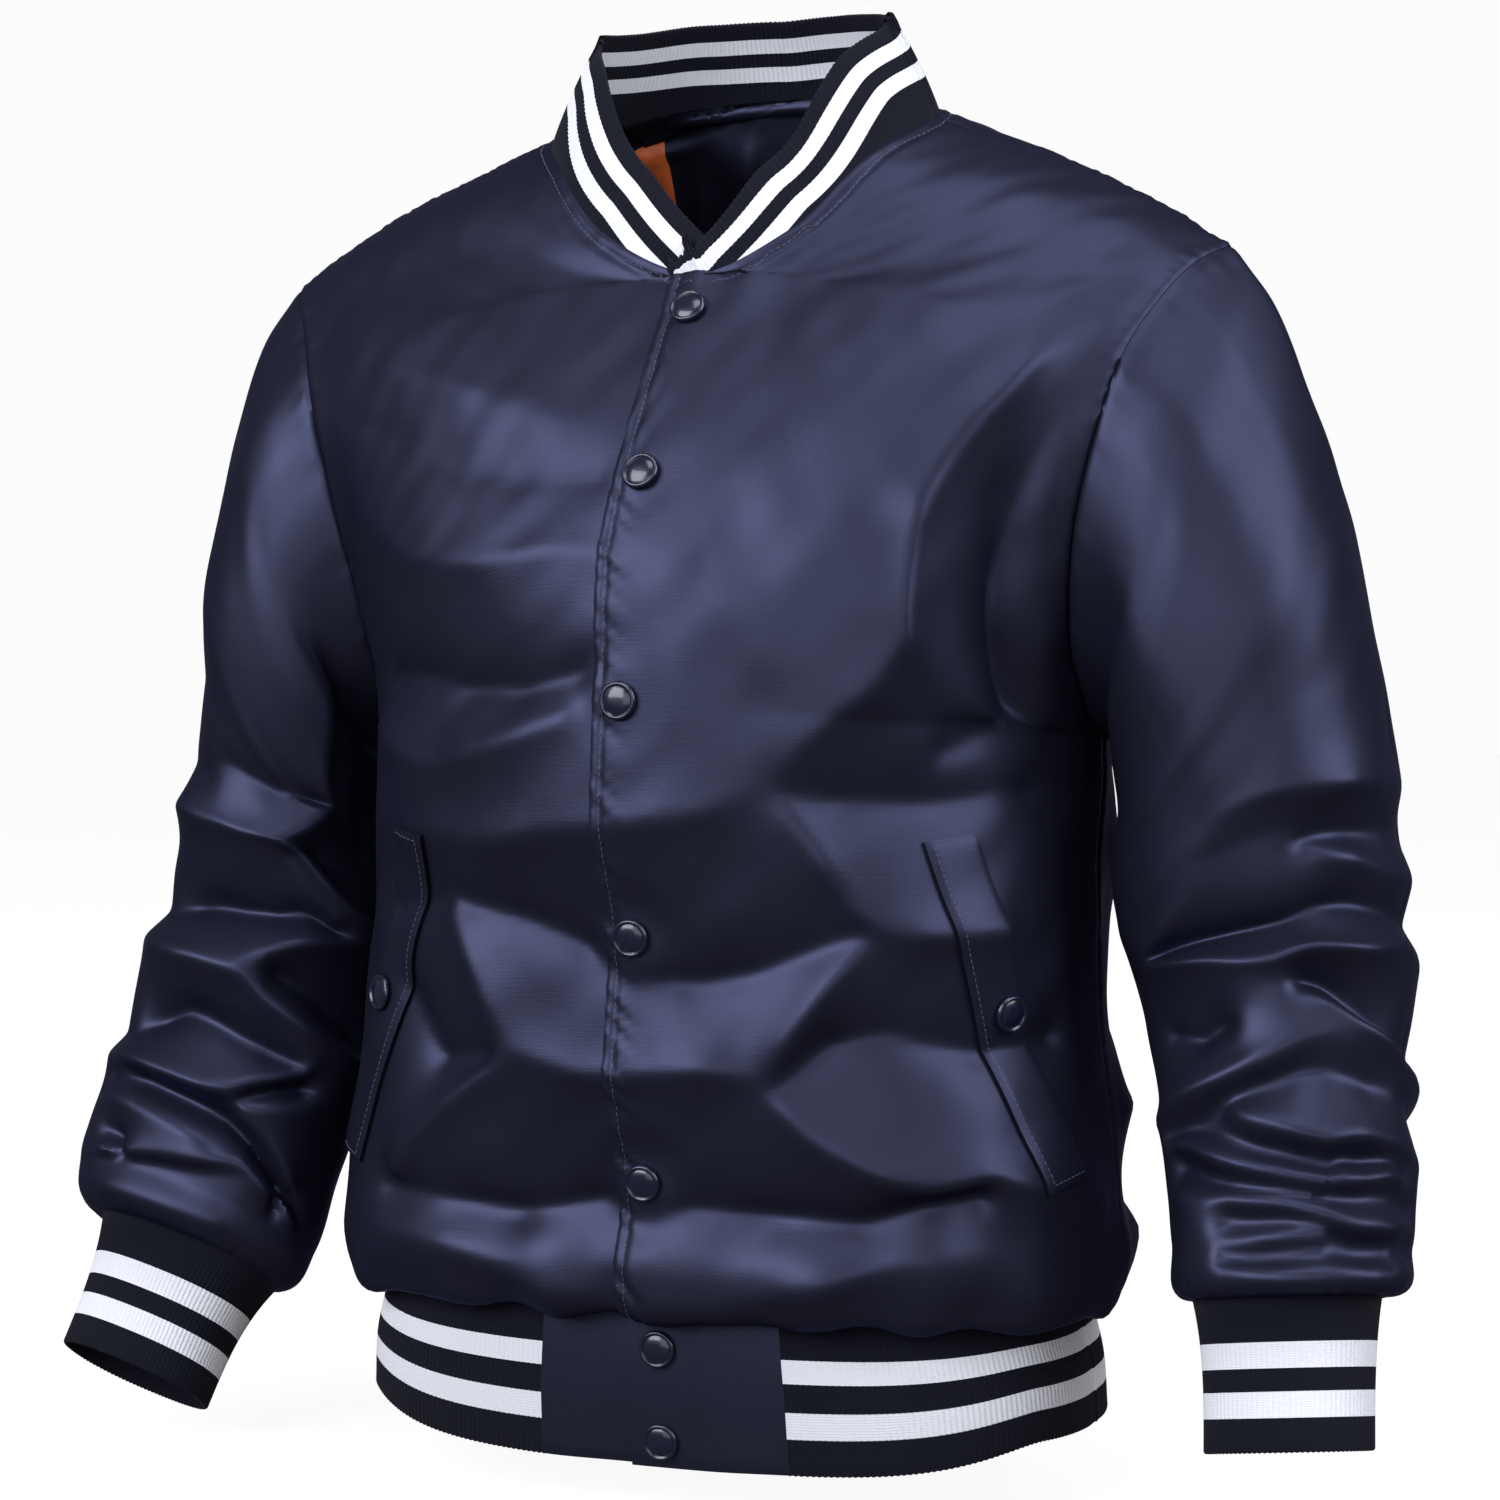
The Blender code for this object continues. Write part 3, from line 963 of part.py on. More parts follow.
# ---------------------------------------------------------------- walls
def mated(sheets):
    """The normals that sheets share at their seams, and how each edge draws back.

    Pieces that face alike have one say between them in the shared normal.
    """
    sums = [face_sums(sheet.points, sheet.quads) for sheet in sheets]
    ways = [sheet.rim_ways() for sheet in sheets]
    meeting = {}
    for number, sheet in enumerate(sheets):
        for index, point in enumerate(sheet.points):
            meeting.setdefault(tuple(np.round(point, 6)), []).append((number, index))
    shifts = [np.zeros_like(sheet.points) for sheet in sheets]
    for group in meeting.values():
        if len(group) > 1:
            own = np.array([unit(sums[n][i]) for n, i in group])
            alike = (np.maximum(own @ own.T, 0.0) ** 2).sum(1, keepdims=True)
            normal = unit((own / alike).sum(0))
            for n, i in group:
                draw = GAP / 2 * (EDGE_DRAW if len(group) == 2 else CORNER_DRAW)
                away = np.cross(unit(sums[n][i]), ways[n][i])
                shifts[n][i] = unit(away - normal * (away @ normal)) * draw
                sums[n][i] = normal
    return [unit(total) for total in sums], shifts


def wall(sheet, normals, shift):
    """The closed wall of a sheet as points and faces."""
    outer = sheet.points + shift
    inner = outer - normals * sheet.thickness
    count = len(outer)
    faces = [list(quad) for quad in sheet.quads]
    faces += [[count + corner for corner in quad[::-1]] for quad in sheet.quads]
    faces += [[b, a, count + a, count + b] for a, b in sheet.rim()]
    return np.vstack([outer, inner]), faces


def lie_on_panel(name, grid, quads, finish, thickness):
    """Adds a piece that lies on another and meets nothing at its edges."""
    sheet = Sheet(name, finish, thickness, grid.reshape(-1, 3), quads)
    normals = unit(face_sums(sheet.points, sheet.quads))
    add_object(name, *wall(sheet, normals, np.zeros_like(sheet.points)), finish)


def material(name):
    finish = FINISHES[name]
    made = bpy.data.materials.get(name) or bpy.data.materials.new(name)
    made.use_nodes = True
    shader = made.node_tree.nodes["Principled BSDF"]
    shader.inputs["Base Color"].default_value = (*finish.colour, 1.0)
    shader.inputs["Roughness"].default_value = finish.roughness
    shader.inputs["Metallic"].default_value = finish.metallic
    return made


def add_object(name, points, faces, finish):
    mesh = bpy.data.meshes.new(name)
    mesh.from_pydata([Vector(point) for point in points], [], [[int(i) for i in face] for face in faces])
    shaper = bmesh.new()
    shaper.from_mesh(mesh)
    bmesh.ops.triangulate(shaper, faces=shaper.faces)
    shaper.to_mesh(mesh)
    shaper.free()
    mesh.shade_smooth()
    mesh.set_sharp_from_angle(angle=math.radians(50))
    mesh.materials.append(material(finish))
    made = bpy.data.objects.new(name, mesh)
    bpy.context.scene.collection.objects.link(made)
    return made


# ---------------------------------------------------------------- the whole jacket
def main():
    for old in list(bpy.data.objects):
        bpy.data.objects.remove(old, do_unlink=True)
    front_half = Half(FRONT_ROWS, BACK_ROWS, 1, STRIP_COLUMNS)
    back_half = Half(BACK_ROWS, FRONT_ROWS, -1, 0)
    relief = Relief("torso", TORSO_GIRTH, TORSO_HEIGHTS)
    sheets = {}
    fronts = {}
    backs = {}
    for name, side in (("left", 1), ("right", -1)):
        fronts[name] = front_points(front_half, side, relief)
        backs[name] = back_points(back_half, side, relief)
        meet(fronts[name], backs[name], front_half)
        fronts[name] = swayed(placed(fronts[name], side))
        backs[name] = swayed(placed(backs[name], side))
    seam_middle = (backs["left"][: back_half.neck + 1, 0] + backs["right"][: back_half.neck + 1, 0]) / 2
    for name in backs:
        backs[name][: back_half.neck + 1, 0] = seam_middle
    for name, side in (("left", 1), ("right", -1)):
        quads = front_half.quads()
        sheets[name + "_front"] = Sheet(
            name + "_front", "satin", CLOTH, fronts[name].reshape(-1, 3), quads if side > 0 else turned(quads)
        )
    both = np.vstack([backs["left"].reshape(-1, 3), backs["right"].reshape(-1, 3)])
    quads = back_half.quads()
    both_quads = np.vstack([turned(quads), quads + backs["left"][..., 0].size])
    sheets["back"] = Sheet("back", "satin", CLOTH, *welded(both, both_quads))

    for name, side, rings, end, cuff_axis in (
        ("left", 1, SLEEVE_LEFT, CUFF_END_LEFT, CUFF_AXIS_LEFT),
        ("right", -1, SLEEVE_RIGHT, CUFF_END_RIGHT, CUFF_AXIS_RIGHT),
    ):
        front_edge = front_half.armhole(fronts[name])[::-1]
        back_edge = back_half.armhole(backs[name])
        armhole = np.vstack([front_edge, back_edge[1:-1]])
        points, angles = sleeve_points(
            rings, placed(armhole, side), len(front_edge) - 1, name + "_sleeve", cuff_axis
        )
        cuff = placed(cuff_points(points[-1], end, np.array(cuff_axis), angles), side)
        points = placed(points, side)
        for piece, grid, finish, thickness in (
            (name + "_sleeve", points, "satin", CLOTH),
            (name + "_cuff", cuff, "rib", RIB),
        ):
            quads = grid_quads(len(grid) - 1, grid.shape[1], wrap=True)
            quads = quads if side > 0 else turned(quads)
            sheets[piece] = Sheet(piece, finish, thickness, grid.reshape(-1, 3), quads)

    left, right = fronts["left"][0], fronts["right"][0]
    seam = np.vstack([left, backs["left"][0][-2::-1], backs["right"][0][1:], right[-2::-1]])
    hem = hem_points(seam)
    tab = STRIP_COLUMNS + TAB_COLUMNS
    spans = (
        ("left_hem_tab", 0, tab, "satin", CLOTH),
        ("hem_rib", tab, len(seam) - 1 - tab, "rib", RIB),
        ("right_hem_tab", len(seam) - 1 - tab, len(seam) - 1, "satin", CLOTH),
    )
    for name, start, stop, finish, thickness in spans:
        grid = hem[:, start : stop + 1]
        quads = turned(grid_quads(len(grid) - 1, stop - start))
        sheets[name] = Sheet(name, finish, thickness, grid.reshape(-1, 3), quads)

    halves = []
    for name in ("left", "right"):
        halves.append(np.vstack([front_half.neckline(fronts[name]), back_half.neckline(backs[name])[-2::-1]]))
    neckline = np.vstack([halves[0], halves[1][-2::-1]])
    marks = []
    for half in halves:
        steps = np.concatenate([[0.0], np.cumsum(np.linalg.norm(np.diff(half, axis=0), axis=1))])
        steps = steps - steps[STRIP_COLUMNS]
        marks.append(steps / steps[-1])
    around = np.concatenate([marks[0], marks[1][-2::-1]])
    collar = collar_points(neckline, around)
    quads = grid_quads(COLLAR_CELLS, len(neckline) - 1)
    sheets["collar"] = Sheet("collar", "rib", RIB, collar.reshape(-1, 3), quads)

    walls = {}
    pieces = list(sheets.values())
    for sheet, normals, shift in zip(pieces, *mated(pieces)):
        walls[sheet.name] = wall(sheet, normals, shift)
        add_object(sheet.name, *walls[sheet.name], sheet.finish)

    lining = lining_points(*walls["back"])
    quads = grid_quads(LINING_ROWS, LINING_COLUMNS)
    lie_on_panel("lining_panel", lining, quads, "lining", LINING)

    for name, side in (("left", 1), ("right", -1)):
        welt = welt_points(front_half, fronts[name], side, WELT_SHIFT[name])
        quads = grid_quads(WELT_ROWS, WELT_COLUMNS)
        lie_on_panel(name + "_pocket_welt", welt, quads if side > 0 else turned(quads), "satin", CLOTH)
        middle, axis = Surface(welt).seat(
            WELT_SNAP_UP * WELT_ROWS, WELT_SNAP_ACROSS * WELT_COLUMNS, SNAP_RADIUS, side
        )
        add_snap(name + "_pocket_snap", middle, axis)

    front = Surface(fronts["left"])
    centre = fronts["left"][: front_half.neck + 1, STRIP_COLUMNS, 2]
    for number, height in enumerate(FRONT_SNAP_HEIGHTS, 1):
        row = np.interp(height, centre[SAG_ROWS:], np.arange(SAG_ROWS, len(centre)))
        add_snap("front_snap_%d" % number, *front.seat(row, STRIP_COLUMNS, SNAP_RADIUS, 1))
    tab_surface = Surface(hem[::-1, tab::-1])
    for number, height in enumerate(HEM_SNAP_HEIGHTS, 1):
        row = np.interp(height, tab_surface.points[:, TAB_COLUMNS, 2], np.arange(len(hem)))
        add_snap("hem_snap_%d" % number, *tab_surface.seat(row, TAB_COLUMNS, SNAP_RADIUS, -1))


main()
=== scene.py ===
"""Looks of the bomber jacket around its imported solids, in the solids' own frame (metres, +Z up).

The cloth is laid on the same section lines as the solids, in much finer cells, with the
small folds, seams, stitches and knit that the solids leave out.
"""

import math
from collections import namedtuple

import bpy
import numpy as np
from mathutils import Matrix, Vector
from mathutils.bvhtree import BVHTree


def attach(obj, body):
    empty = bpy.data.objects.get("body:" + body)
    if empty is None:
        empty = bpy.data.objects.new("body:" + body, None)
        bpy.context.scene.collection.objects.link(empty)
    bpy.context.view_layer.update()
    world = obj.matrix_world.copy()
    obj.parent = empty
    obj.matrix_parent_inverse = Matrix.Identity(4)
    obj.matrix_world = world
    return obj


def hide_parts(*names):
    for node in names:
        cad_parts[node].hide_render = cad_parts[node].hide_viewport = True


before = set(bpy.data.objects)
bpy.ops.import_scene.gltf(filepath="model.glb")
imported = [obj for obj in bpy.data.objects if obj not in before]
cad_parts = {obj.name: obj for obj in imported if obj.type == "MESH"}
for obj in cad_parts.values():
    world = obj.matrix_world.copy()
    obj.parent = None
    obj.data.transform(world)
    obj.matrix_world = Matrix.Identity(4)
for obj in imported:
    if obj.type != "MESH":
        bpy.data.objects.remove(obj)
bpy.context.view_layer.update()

FINE = 6  # cells across the cloth for each cell of the solids
FINE_ROWS = 8  # and up it
SLEEVE_ROWS = 11  # and down a sleeve

# ---------------------------------------------------------------- driving dimensions
CLOTH = 0.0016  # satin shell with its lining
RIB = 0.0025  # knitted rib, folded double
LINING = 0.0010
GAP = 0.0003  # between neighbouring pieces

OVERLAP = 0.014  # each front reaches this far past the centre line
LAP_LIFT = 0.0034  # the left front lies this far over the right one
LAP_START = 0.018  # the lift is whole up to here
LAP_END = 0.055  # and gone from here on

SHOULDER_X = 0.237
HEM_SWAY = 0.0045  # the hem hangs this much towards the wearer's right at each side seam
SWAY_START = -0.40  # whole from here down
SWAY_END = -0.28  # and none from here up
NECK_LEAN = 0.008  # the front edges lean this much to the wearer's left at the neck
LEAN_START = -0.22
LEAN_END = -0.09
LEAN_REACH = 0.09  # and the lean is gone this far from the centre line

SNAP_RADIUS = 0.0087
SNAP_CALM = 0.030  # folds fade out this near a snap
FRONT_SNAP_HEIGHTS = (-0.0945, -0.171, -0.272, -0.377, -0.488)
HEM_SNAP_HEIGHTS = (-0.566, -0.609)

HALF_COLUMNS = 16 * FINE  # cells from the centre line to a side seam
TAB_COLUMNS = 4 * FINE  # of which the satin hem tab takes these
STRIP_COLUMNS = 2 * FINE  # cells of the overlap past the centre line
SAG_ROWS = 3 * FINE_ROWS  # grid rows in which the body sags over the hem band
LINE_POINTS = 40  # steps in which a section line is measured
TORSO_WIDTH = 0.29  # nominal distance around from the centre line to a side seam
BODY_MIDDLE = np.array((0.0, 0.0, -0.25))
SIDES = (("left", 1), ("right", -1))

# Corners of a pocket welt as distance round from the centre line and height: lower inner,
# lower outer, upper inner, upper outer.
WELT_CORNERS = ((0.210, -0.499), (0.242, -0.495), (0.151, -0.341), (0.181, -0.337))
WELT_SHIFT = {"left": 0.0, "right": -0.030}  # how much further round each welt sits
WELT_LIFT = 0.0013
WELT_ROWS = 64
WELT_COLUMNS = 16
WELT_SNAP_UP = 0.50  # place of the pocket's snap on its welt
WELT_SNAP_ACROSS = 0.66
WELT_SAG = 0.0008  # how far its edges roll down
WELT_STITCH_COLUMN = 2  # in which its row of stitches runs

# The bright lining panel inside the neck, on the wearer's right.
LINING_NEAR_X = -0.0705
LINING_FAR_X = -0.093
LINING_NEAR_TOP = 0.0130
LINING_FAR_TOP = -0.0015
LINING_FOOT = -0.038
LINING_LIFT = 0.0006
LINING_ROWS = 24
LINING_COLUMNS = 16
LINING_FOLD_REACH = (0.012, 0.030)  # the lining's folds grow over this distance from the neckline
LINING_FOLD_FOOT = (-0.16, -0.08)  # and over these heights
# Slack folds of the lining: radians a metre across and down, where they start, their rise.
LiningFold = namedtuple("LiningFold", "across down start rise")
LINING_FOLDS = (
    LiningFold(70, 55, 0.6, 0.0022), LiningFold(95, -60, 2.0, 0.0018), LiningFold(170, -25, 0.0, 0.0008)
)
TAPE_HALF_LENGTH = 0.080  # of the tube along the back of the neck, inside, to each side
TAPE_TOP = 0.0014  # below the collar seam
TAPE_WIDTH = 0.0062
TAPE_RISE = 0.0016
TAPE_ROWS = 8
TAPE_COLUMNS = 80

# ---------------------------------------------------------------- sizes of the fine work
RELIEF_SOFTENING = 24  # rounds that round off the crests of the folds
RELIEF_SHARPENING = 1.5  # share by which creases stand out more than in the solids
RELIEF_WIDE = 75  # rounds of softening that leave only the broad folds
RELIEF_WIDE_STEP = 0.029 / 8  # on the grid with these cells
SEAM_DITCH = 0.0022  # half the width of the ditch along a seam
SEAM_ROLL = 0.0009  # how high the cloth rolls up beside it
SEAM_REACH = 0.012
PUCKER_REACH = 0.009
Pucker = namedtuple("Pucker", "pitch rise start")
PUCKERS = (Pucker(0.0110, 0.00022, 0.0), Pucker(0.0173, 0.00018, 1.1), Pucker(0.0079, 0.00010, 2.7))
Ripple = namedtuple("Ripple", "across down rise start")  # waves a metre across and down
RIPPLES = (
    Ripple(9.0, 14.0, 0.00025, 0.4),
    Ripple(-13.0, 17.0, 0.00018, 1.9),
    Ripple(21.0, 11.0, 0.00012, 3.1),
    Ripple(-17.0, 31.0, 0.00010, 5.0),
    Ripple(29.0, -23.0, 0.00008, 0.9),
)
EDGE_STITCH = 0.0050  # from the front edge to its row of stitches
EDGE_PUCKERS = (Pucker(0.0087, 0.00055, 0.0), Pucker(0.0119, 0.00035, 1.1), Pucker(0.0211, 0.00030, 2.7))
EDGE_SLANT = 0.8  # how far the puckers climb as they leave the edge
EDGE_DITCH = 0.0011  # how deep the stitches pull the cloth in
EDGE_WIDTH = 0.0022
EDGE_ROLL = 0.0014  # how far the edge itself rolls under
EDGE_RADIUS = 0.0018
NECK_STITCH = 0.0060  # from the collar seam to its row of stitches
STITCH_LENGTH = 0.0024
STITCH_PITCH = 0.0031
THREAD = 0.00022
# A stitch from end to end: how far along it is, how thick and how high it lies.
STITCH_RINGS = ((-0.5, 0.2, -0.6), (-0.34, 0.85, 0.1), (0.0, 1.0, 0.35), (0.34, 0.85, 0.1), (0.5, 0.2, -0.6))
STITCH_SIDES = 6

RIB_PITCH = 0.0026
RIB_CELLS = 4
RIB_RISE = 0.00045
BAND_ROWS = 14
FOLD_STEPS = 4
COLLAR_BAND = 0.0405  # the collar's stripes are spaced over this height from its edge
EDGE_SEARCH = 75  # columns to each side in which the nearest point of the collar's edge lies
EDGE_STRIDE = 3
NECK_STRIDE = 6  # of the neckline's points, one in this many is near enough

WELT_ROLL = 0.0022
SHARP_ANGLE = math.radians(55)
SNAP_SIDES = 64
# The cap's turned outline from its foot up: radius and height.
SNAP_PROFILE = (
    (0.0070, 0.0000), (0.0084, 0.0001), (0.0087, 0.0005), (0.0087, 0.0011), (0.0085, 0.0017),
    (0.0081, 0.0022), (0.0076, 0.0024), (0.0071, 0.0023), (0.0067, 0.0019), (0.0064, 0.0017),
    (0.0060, 0.0019), (0.0052, 0.0022), (0.0040, 0.0025), (0.0026, 0.0027), (0.0012, 0.0028),
    (0.0002, 0.0028),
)
CLOTH_MAP = "cloth"

# ---------------------------------------------------------------- section tables
# One row is one line of cloth on the wearer's left, from the centre line or neckline (in)
# to the side seam or armhole (out). turn is the angle that it wraps round by, fall the
# angle downwards, full how far it bellies out, cells the grid cells up to the next row.
Row = namedtuple(
    "Row", "name x_in y_in z_in turn_in fall_in x_out y_out z_out turn_out fall_out full cells"
)
FRONT_ROWS = [
    Row("seam", 0, -0.104, -0.546, 0, 0, 0.170, 0.000, -0.546, 90, 0, 0.46, 1),
    Row("sag", 0, -0.1125, -0.5455, 0, 0, 0.181, 0.000, -0.554, 90, 0, 0.47, 1),
    Row("bulge", 0, -0.1205, -0.531, 0, 0, 0.187, 0.000, -0.543, 90, 0, 0.47, 1),
    Row("low", 0, -0.1245, -0.505, 0, 0, 0.187, 0.000, -0.505, 90, 0, 0.48, 3),
    Row("waist", 0, -0.131, -0.440, 0, 0, 0.183, 0.002, -0.440, 90, 0, 0.46, 3),
    Row("ribs", 0, -0.140, -0.365, 0, 0, 0.178, 0.004, -0.365, 90, 0, 0.43, 3),
    Row("underarm", 0, -0.147, -0.275, 0, 0, 0.177, 0.006, -0.288, 90, 0, 0.42, 2),
    Row("chest_low", 0, -0.142, -0.218, 0, 0, 0.175, -0.042, -0.252, 70, 4, 0.44, 2),
    Row("chest", 0, -0.127, -0.172, 0, 0, 0.180, -0.061, -0.205, 52, 6, 0.46, 1),
    Row("chest_high", 0, -0.103, -0.124, 2, 0, 0.191, -0.066, -0.158, 36, 9, 0.46, 2),
    Row("neck_base", 0, -0.074, -0.077, 6, 2, 0.203, -0.058, -0.118, 25, 13, 0.46, 2),
    Row("neck_front", 0.047, -0.063, -0.056, 8, 6, 0.215, -0.040, -0.093, 16, 20, 0.42, 2),
    Row("neck_side", 0.079, -0.036, -0.020, 5, 14, 0.228, -0.020, -0.074, 8, 32, 0.38, 2),
    Row("shoulder", 0.097, 0.000, 0.000, 0, 21, SHOULDER_X, 0.002, -0.067, 0, 36, 0.40, 0),
]
BACK_ROWS = [
    Row("seam", 0, 0.100, -0.546, 0, 0, 0.170, 0.000, -0.546, 90, 0, 0.46, 1),
    Row("sag", 0, 0.109, -0.554, 0, 0, 0.181, 0.000, -0.554, 90, 0, 0.47, 1),
    Row("bulge", 0, 0.117, -0.543, 0, 0, 0.187, 0.000, -0.543, 90, 0, 0.47, 1),
    Row("low", 0, 0.121, -0.505, 0, 0, 0.187, 0.000, -0.505, 90, 0, 0.48, 3),
    Row("waist", 0, 0.123, -0.440, 0, 0, 0.183, 0.002, -0.440, 90, 0, 0.49, 3),
    Row("ribs", 0, 0.127, -0.365, 0, 0, 0.178, 0.004, -0.365, 90, 0, 0.48, 3),
    Row("underarm", 0, 0.133, -0.275, 0, 0, 0.177, 0.006, -0.288, 90, 0, 0.48, 2),
    Row("back_low", 0, 0.133, -0.205, 0, 0, 0.178, 0.054, -0.248, 72, 2, 0.50, 2),
    Row("back", 0, 0.128, -0.145, 0, 0, 0.187, 0.074, -0.203, 52, 4, 0.52, 1),
    Row("back_high", 0, 0.113, -0.070, 0, 3, 0.199, 0.077, -0.158, 38, 8, 0.50, 2),
    Row("neck_base", 0, 0.078, 0.027, 0, 15, 0.209, 0.066, -0.118, 28, 14, 0.50, 2),
    Row("neck_back", 0.045, 0.070, 0.024, 4, 17, 0.220, 0.046, -0.091, 18, 22, 0.44, 2),
    Row("neck_side", 0.080, 0.041, 0.013, 2, 20, 0.230, 0.023, -0.074, 9, 32, 0.40, 2),
    Row("shoulder", 0.097, 0.000, 0.000, 0, 21, SHOULDER_X, 0.002, -0.067, 0, 36, 0.40, 0),
]

# One row is one ring of a sleeve: its outermost point, its innermost one, half its depth
# from front to back, and the grid cells up to the next ring.
Ring = namedtuple("Ring", "x_out y_out z_out x_in y_in z_in depth cells")
SLEEVE_LEFT = [
    Ring(SHOULDER_X, 0.002, -0.067, 0.177, 0.006, -0.288, 0.074, 1),
    Ring(0.255, 0.002, -0.091, 0.193, 0.007, -0.297, 0.078, 1),
    Ring(0.271, 0.003, -0.130, 0.191, 0.008, -0.307, 0.079, 2),
    Ring(0.288, 0.005, -0.185, 0.190, 0.008, -0.322, 0.077, 2),
    Ring(0.301, 0.009, -0.250, 0.186, 0.008, -0.340, 0.073, 2),
    Ring(0.311, 0.012, -0.315, 0.186, 0.006, -0.365, 0.069, 3),
    Ring(0.318, 0.008, -0.375, 0.194, 0.002, -0.396, 0.065, 3),
    Ring(0.322, -0.008, -0.428, 0.207, -0.014, -0.435, 0.060, 3),
    Ring(0.326, -0.030, -0.476, 0.219, -0.034, -0.479, 0.054, 2),
    Ring(0.328, -0.047, -0.508, 0.226, -0.050, -0.514, 0.048, 1),
    Ring(0.325, -0.055, -0.527, 0.231, -0.057, -0.535, 0.044, 1),
    Ring(0.318, -0.057, -0.529, 0.237, -0.059, -0.537, 0.037, 0),
]
SLEEVE_RIGHT = [
    Ring(SHOULDER_X, 0.002, -0.067, 0.177, 0.006, -0.288, 0.074, 1),
    Ring(0.256, 0.002, -0.091, 0.193, 0.007, -0.297, 0.078, 1),
    Ring(0.267, 0.003, -0.130, 0.192, 0.008, -0.307, 0.079, 2),
    Ring(0.274, 0.005, -0.185, 0.192, 0.008, -0.322, 0.077, 2),
    Ring(0.279, 0.009, -0.250, 0.190, 0.008, -0.340, 0.073, 2),
    Ring(0.292, 0.012, -0.310, 0.189, 0.006, -0.365, 0.069, 3),
    Ring(0.304, 0.006, -0.365, 0.188, 0.000, -0.400, 0.064, 3),
    Ring(0.318, -0.010, -0.420, 0.196, -0.016, -0.450, 0.059, 3),
    Ring(0.329, -0.026, -0.468, 0.207, -0.030, -0.502, 0.053, 2),
    Ring(0.339, -0.038, -0.510, 0.214, -0.041, -0.541, 0.047, 1),
    Ring(0.333, -0.044, -0.532, 0.224, -0.047, -0.558, 0.042, 1),
    Ring(0.325, -0.045, -0.537, 0.231, -0.048, -0.561, 0.036, 0),
]
CUFF_END_LEFT = Ring(0.318, -0.071, -0.592, 0.245, -0.073, -0.599, 0.031, 0)
CUFF_END_RIGHT = Ring(0.338, -0.062, -0.598, 0.260, -0.064, -0.619, 0.031, 0)
CUFF_AXIS_LEFT = (0.08, -0.20, -0.98)  # the way each cuff points, as on the wearer's left
CUFF_AXIS_RIGHT = (0.17, -0.50, -0.85)
SLEEVES = {
    "left": (SLEEVE_LEFT, CUFF_END_LEFT, CUFF_AXIS_LEFT),
    "right": (SLEEVE_RIGHT, CUFF_END_RIGHT, CUFF_AXIS_RIGHT),
}
CUFF_TURN = 0.10  # the sleeve turns to that way over this length
CUFF_DRAW = 3  # how soon the cuff draws in below its seam, as a power
CUFF_CELLS = 18
SQUARENESS = 2.25  # of a sleeve's section, where 2 is an ellipse
CAP_BLEND = 0.13  # the armhole's own outline fades into the rings over this length

# The hem band widens from the seam down: its height in front and at the back, then the
# share of the seam ring's width, front depth and back depth.
HemRow = namedtuple("HemRow", "z_front z_back width front back")
HEM = [
    HemRow(-0.569, -0.564, 1.030, 1.000, 1.010),
    HemRow(-0.592, -0.582, 1.055, 0.985, 1.020),
    HemRow(-0.621, -0.606, 1.065, 0.950, 1.025),
]
HEM_FRONT_Y = -0.110
HEM_BACK_Y = -0.050

# The collar stands on the neckline: how far round from the centre front (0) to the centre
# back (1), then how far its top edge is above the neckline, inside it and ahead of it.
CollarStation = namedtuple("CollarStation", "around above inside ahead")
COLLAR = [
    CollarStation(-0.06, 0.0050, 0.0018, 0.0040),
    CollarStation(0.00, 0.0115, 0.0040, 0.0090),
    CollarStation(0.08, 0.0245, 0.0084, 0.0142),
    CollarStation(0.16, 0.0350, 0.0125, 0.0155),
    CollarStation(0.25, 0.0430, 0.0160, 0.0130),
    CollarStation(0.34, 0.0477, 0.0185, 0.0085),
    CollarStation(0.43, 0.0493, 0.0208, 0.0042),
    CollarStation(0.52, 0.0474, 0.0228, 0.0012),
    CollarStation(0.62, 0.0440, 0.0222, 0.0000),
    CollarStation(0.74, 0.0400, 0.0200, 0.0000),
    CollarStation(0.87, 0.0366, 0.0178, 0.0000),
    CollarStation(1.00, 0.0350, 0.0165, 0.0000),
]
COLLAR_CELLS = 18
COLLAR_SWELL = 0.0016

# ---------------------------------------------------------------- curves and sheets
def between(grid, row, column):
    """Values of a grid read between its rows and columns, and within its bounds."""
    rows, columns = grid.shape[:2]
    row = np.clip(row, 0, rows - 1.001)
    column = np.clip(column, 0, columns - 1.001)
    r = np.floor(row).astype(int)
    c = np.floor(column).astype(int)
    more = (1,) * (grid.ndim - 2)
    u = (row - r).reshape(r.shape + more)
    v = (column - c).reshape(c.shape + more)
    low = grid[r, c] * (1 - v) + grid[r, c + 1] * v
    high = grid[r + 1, c] * (1 - v) + grid[r + 1, c + 1] * v
    return low * (1 - u) + high * u


def unit(vectors):
    lengths = np.linalg.norm(vectors, axis=-1, keepdims=True)
    return vectors / np.maximum(lengths, 1e-9)


def smoothstep(value, start, end):
    share = np.clip((np.asarray(value, float) - start) / (end - start), 0.0, 1.0)
    return share * share * (3.0 - 2.0 * share)


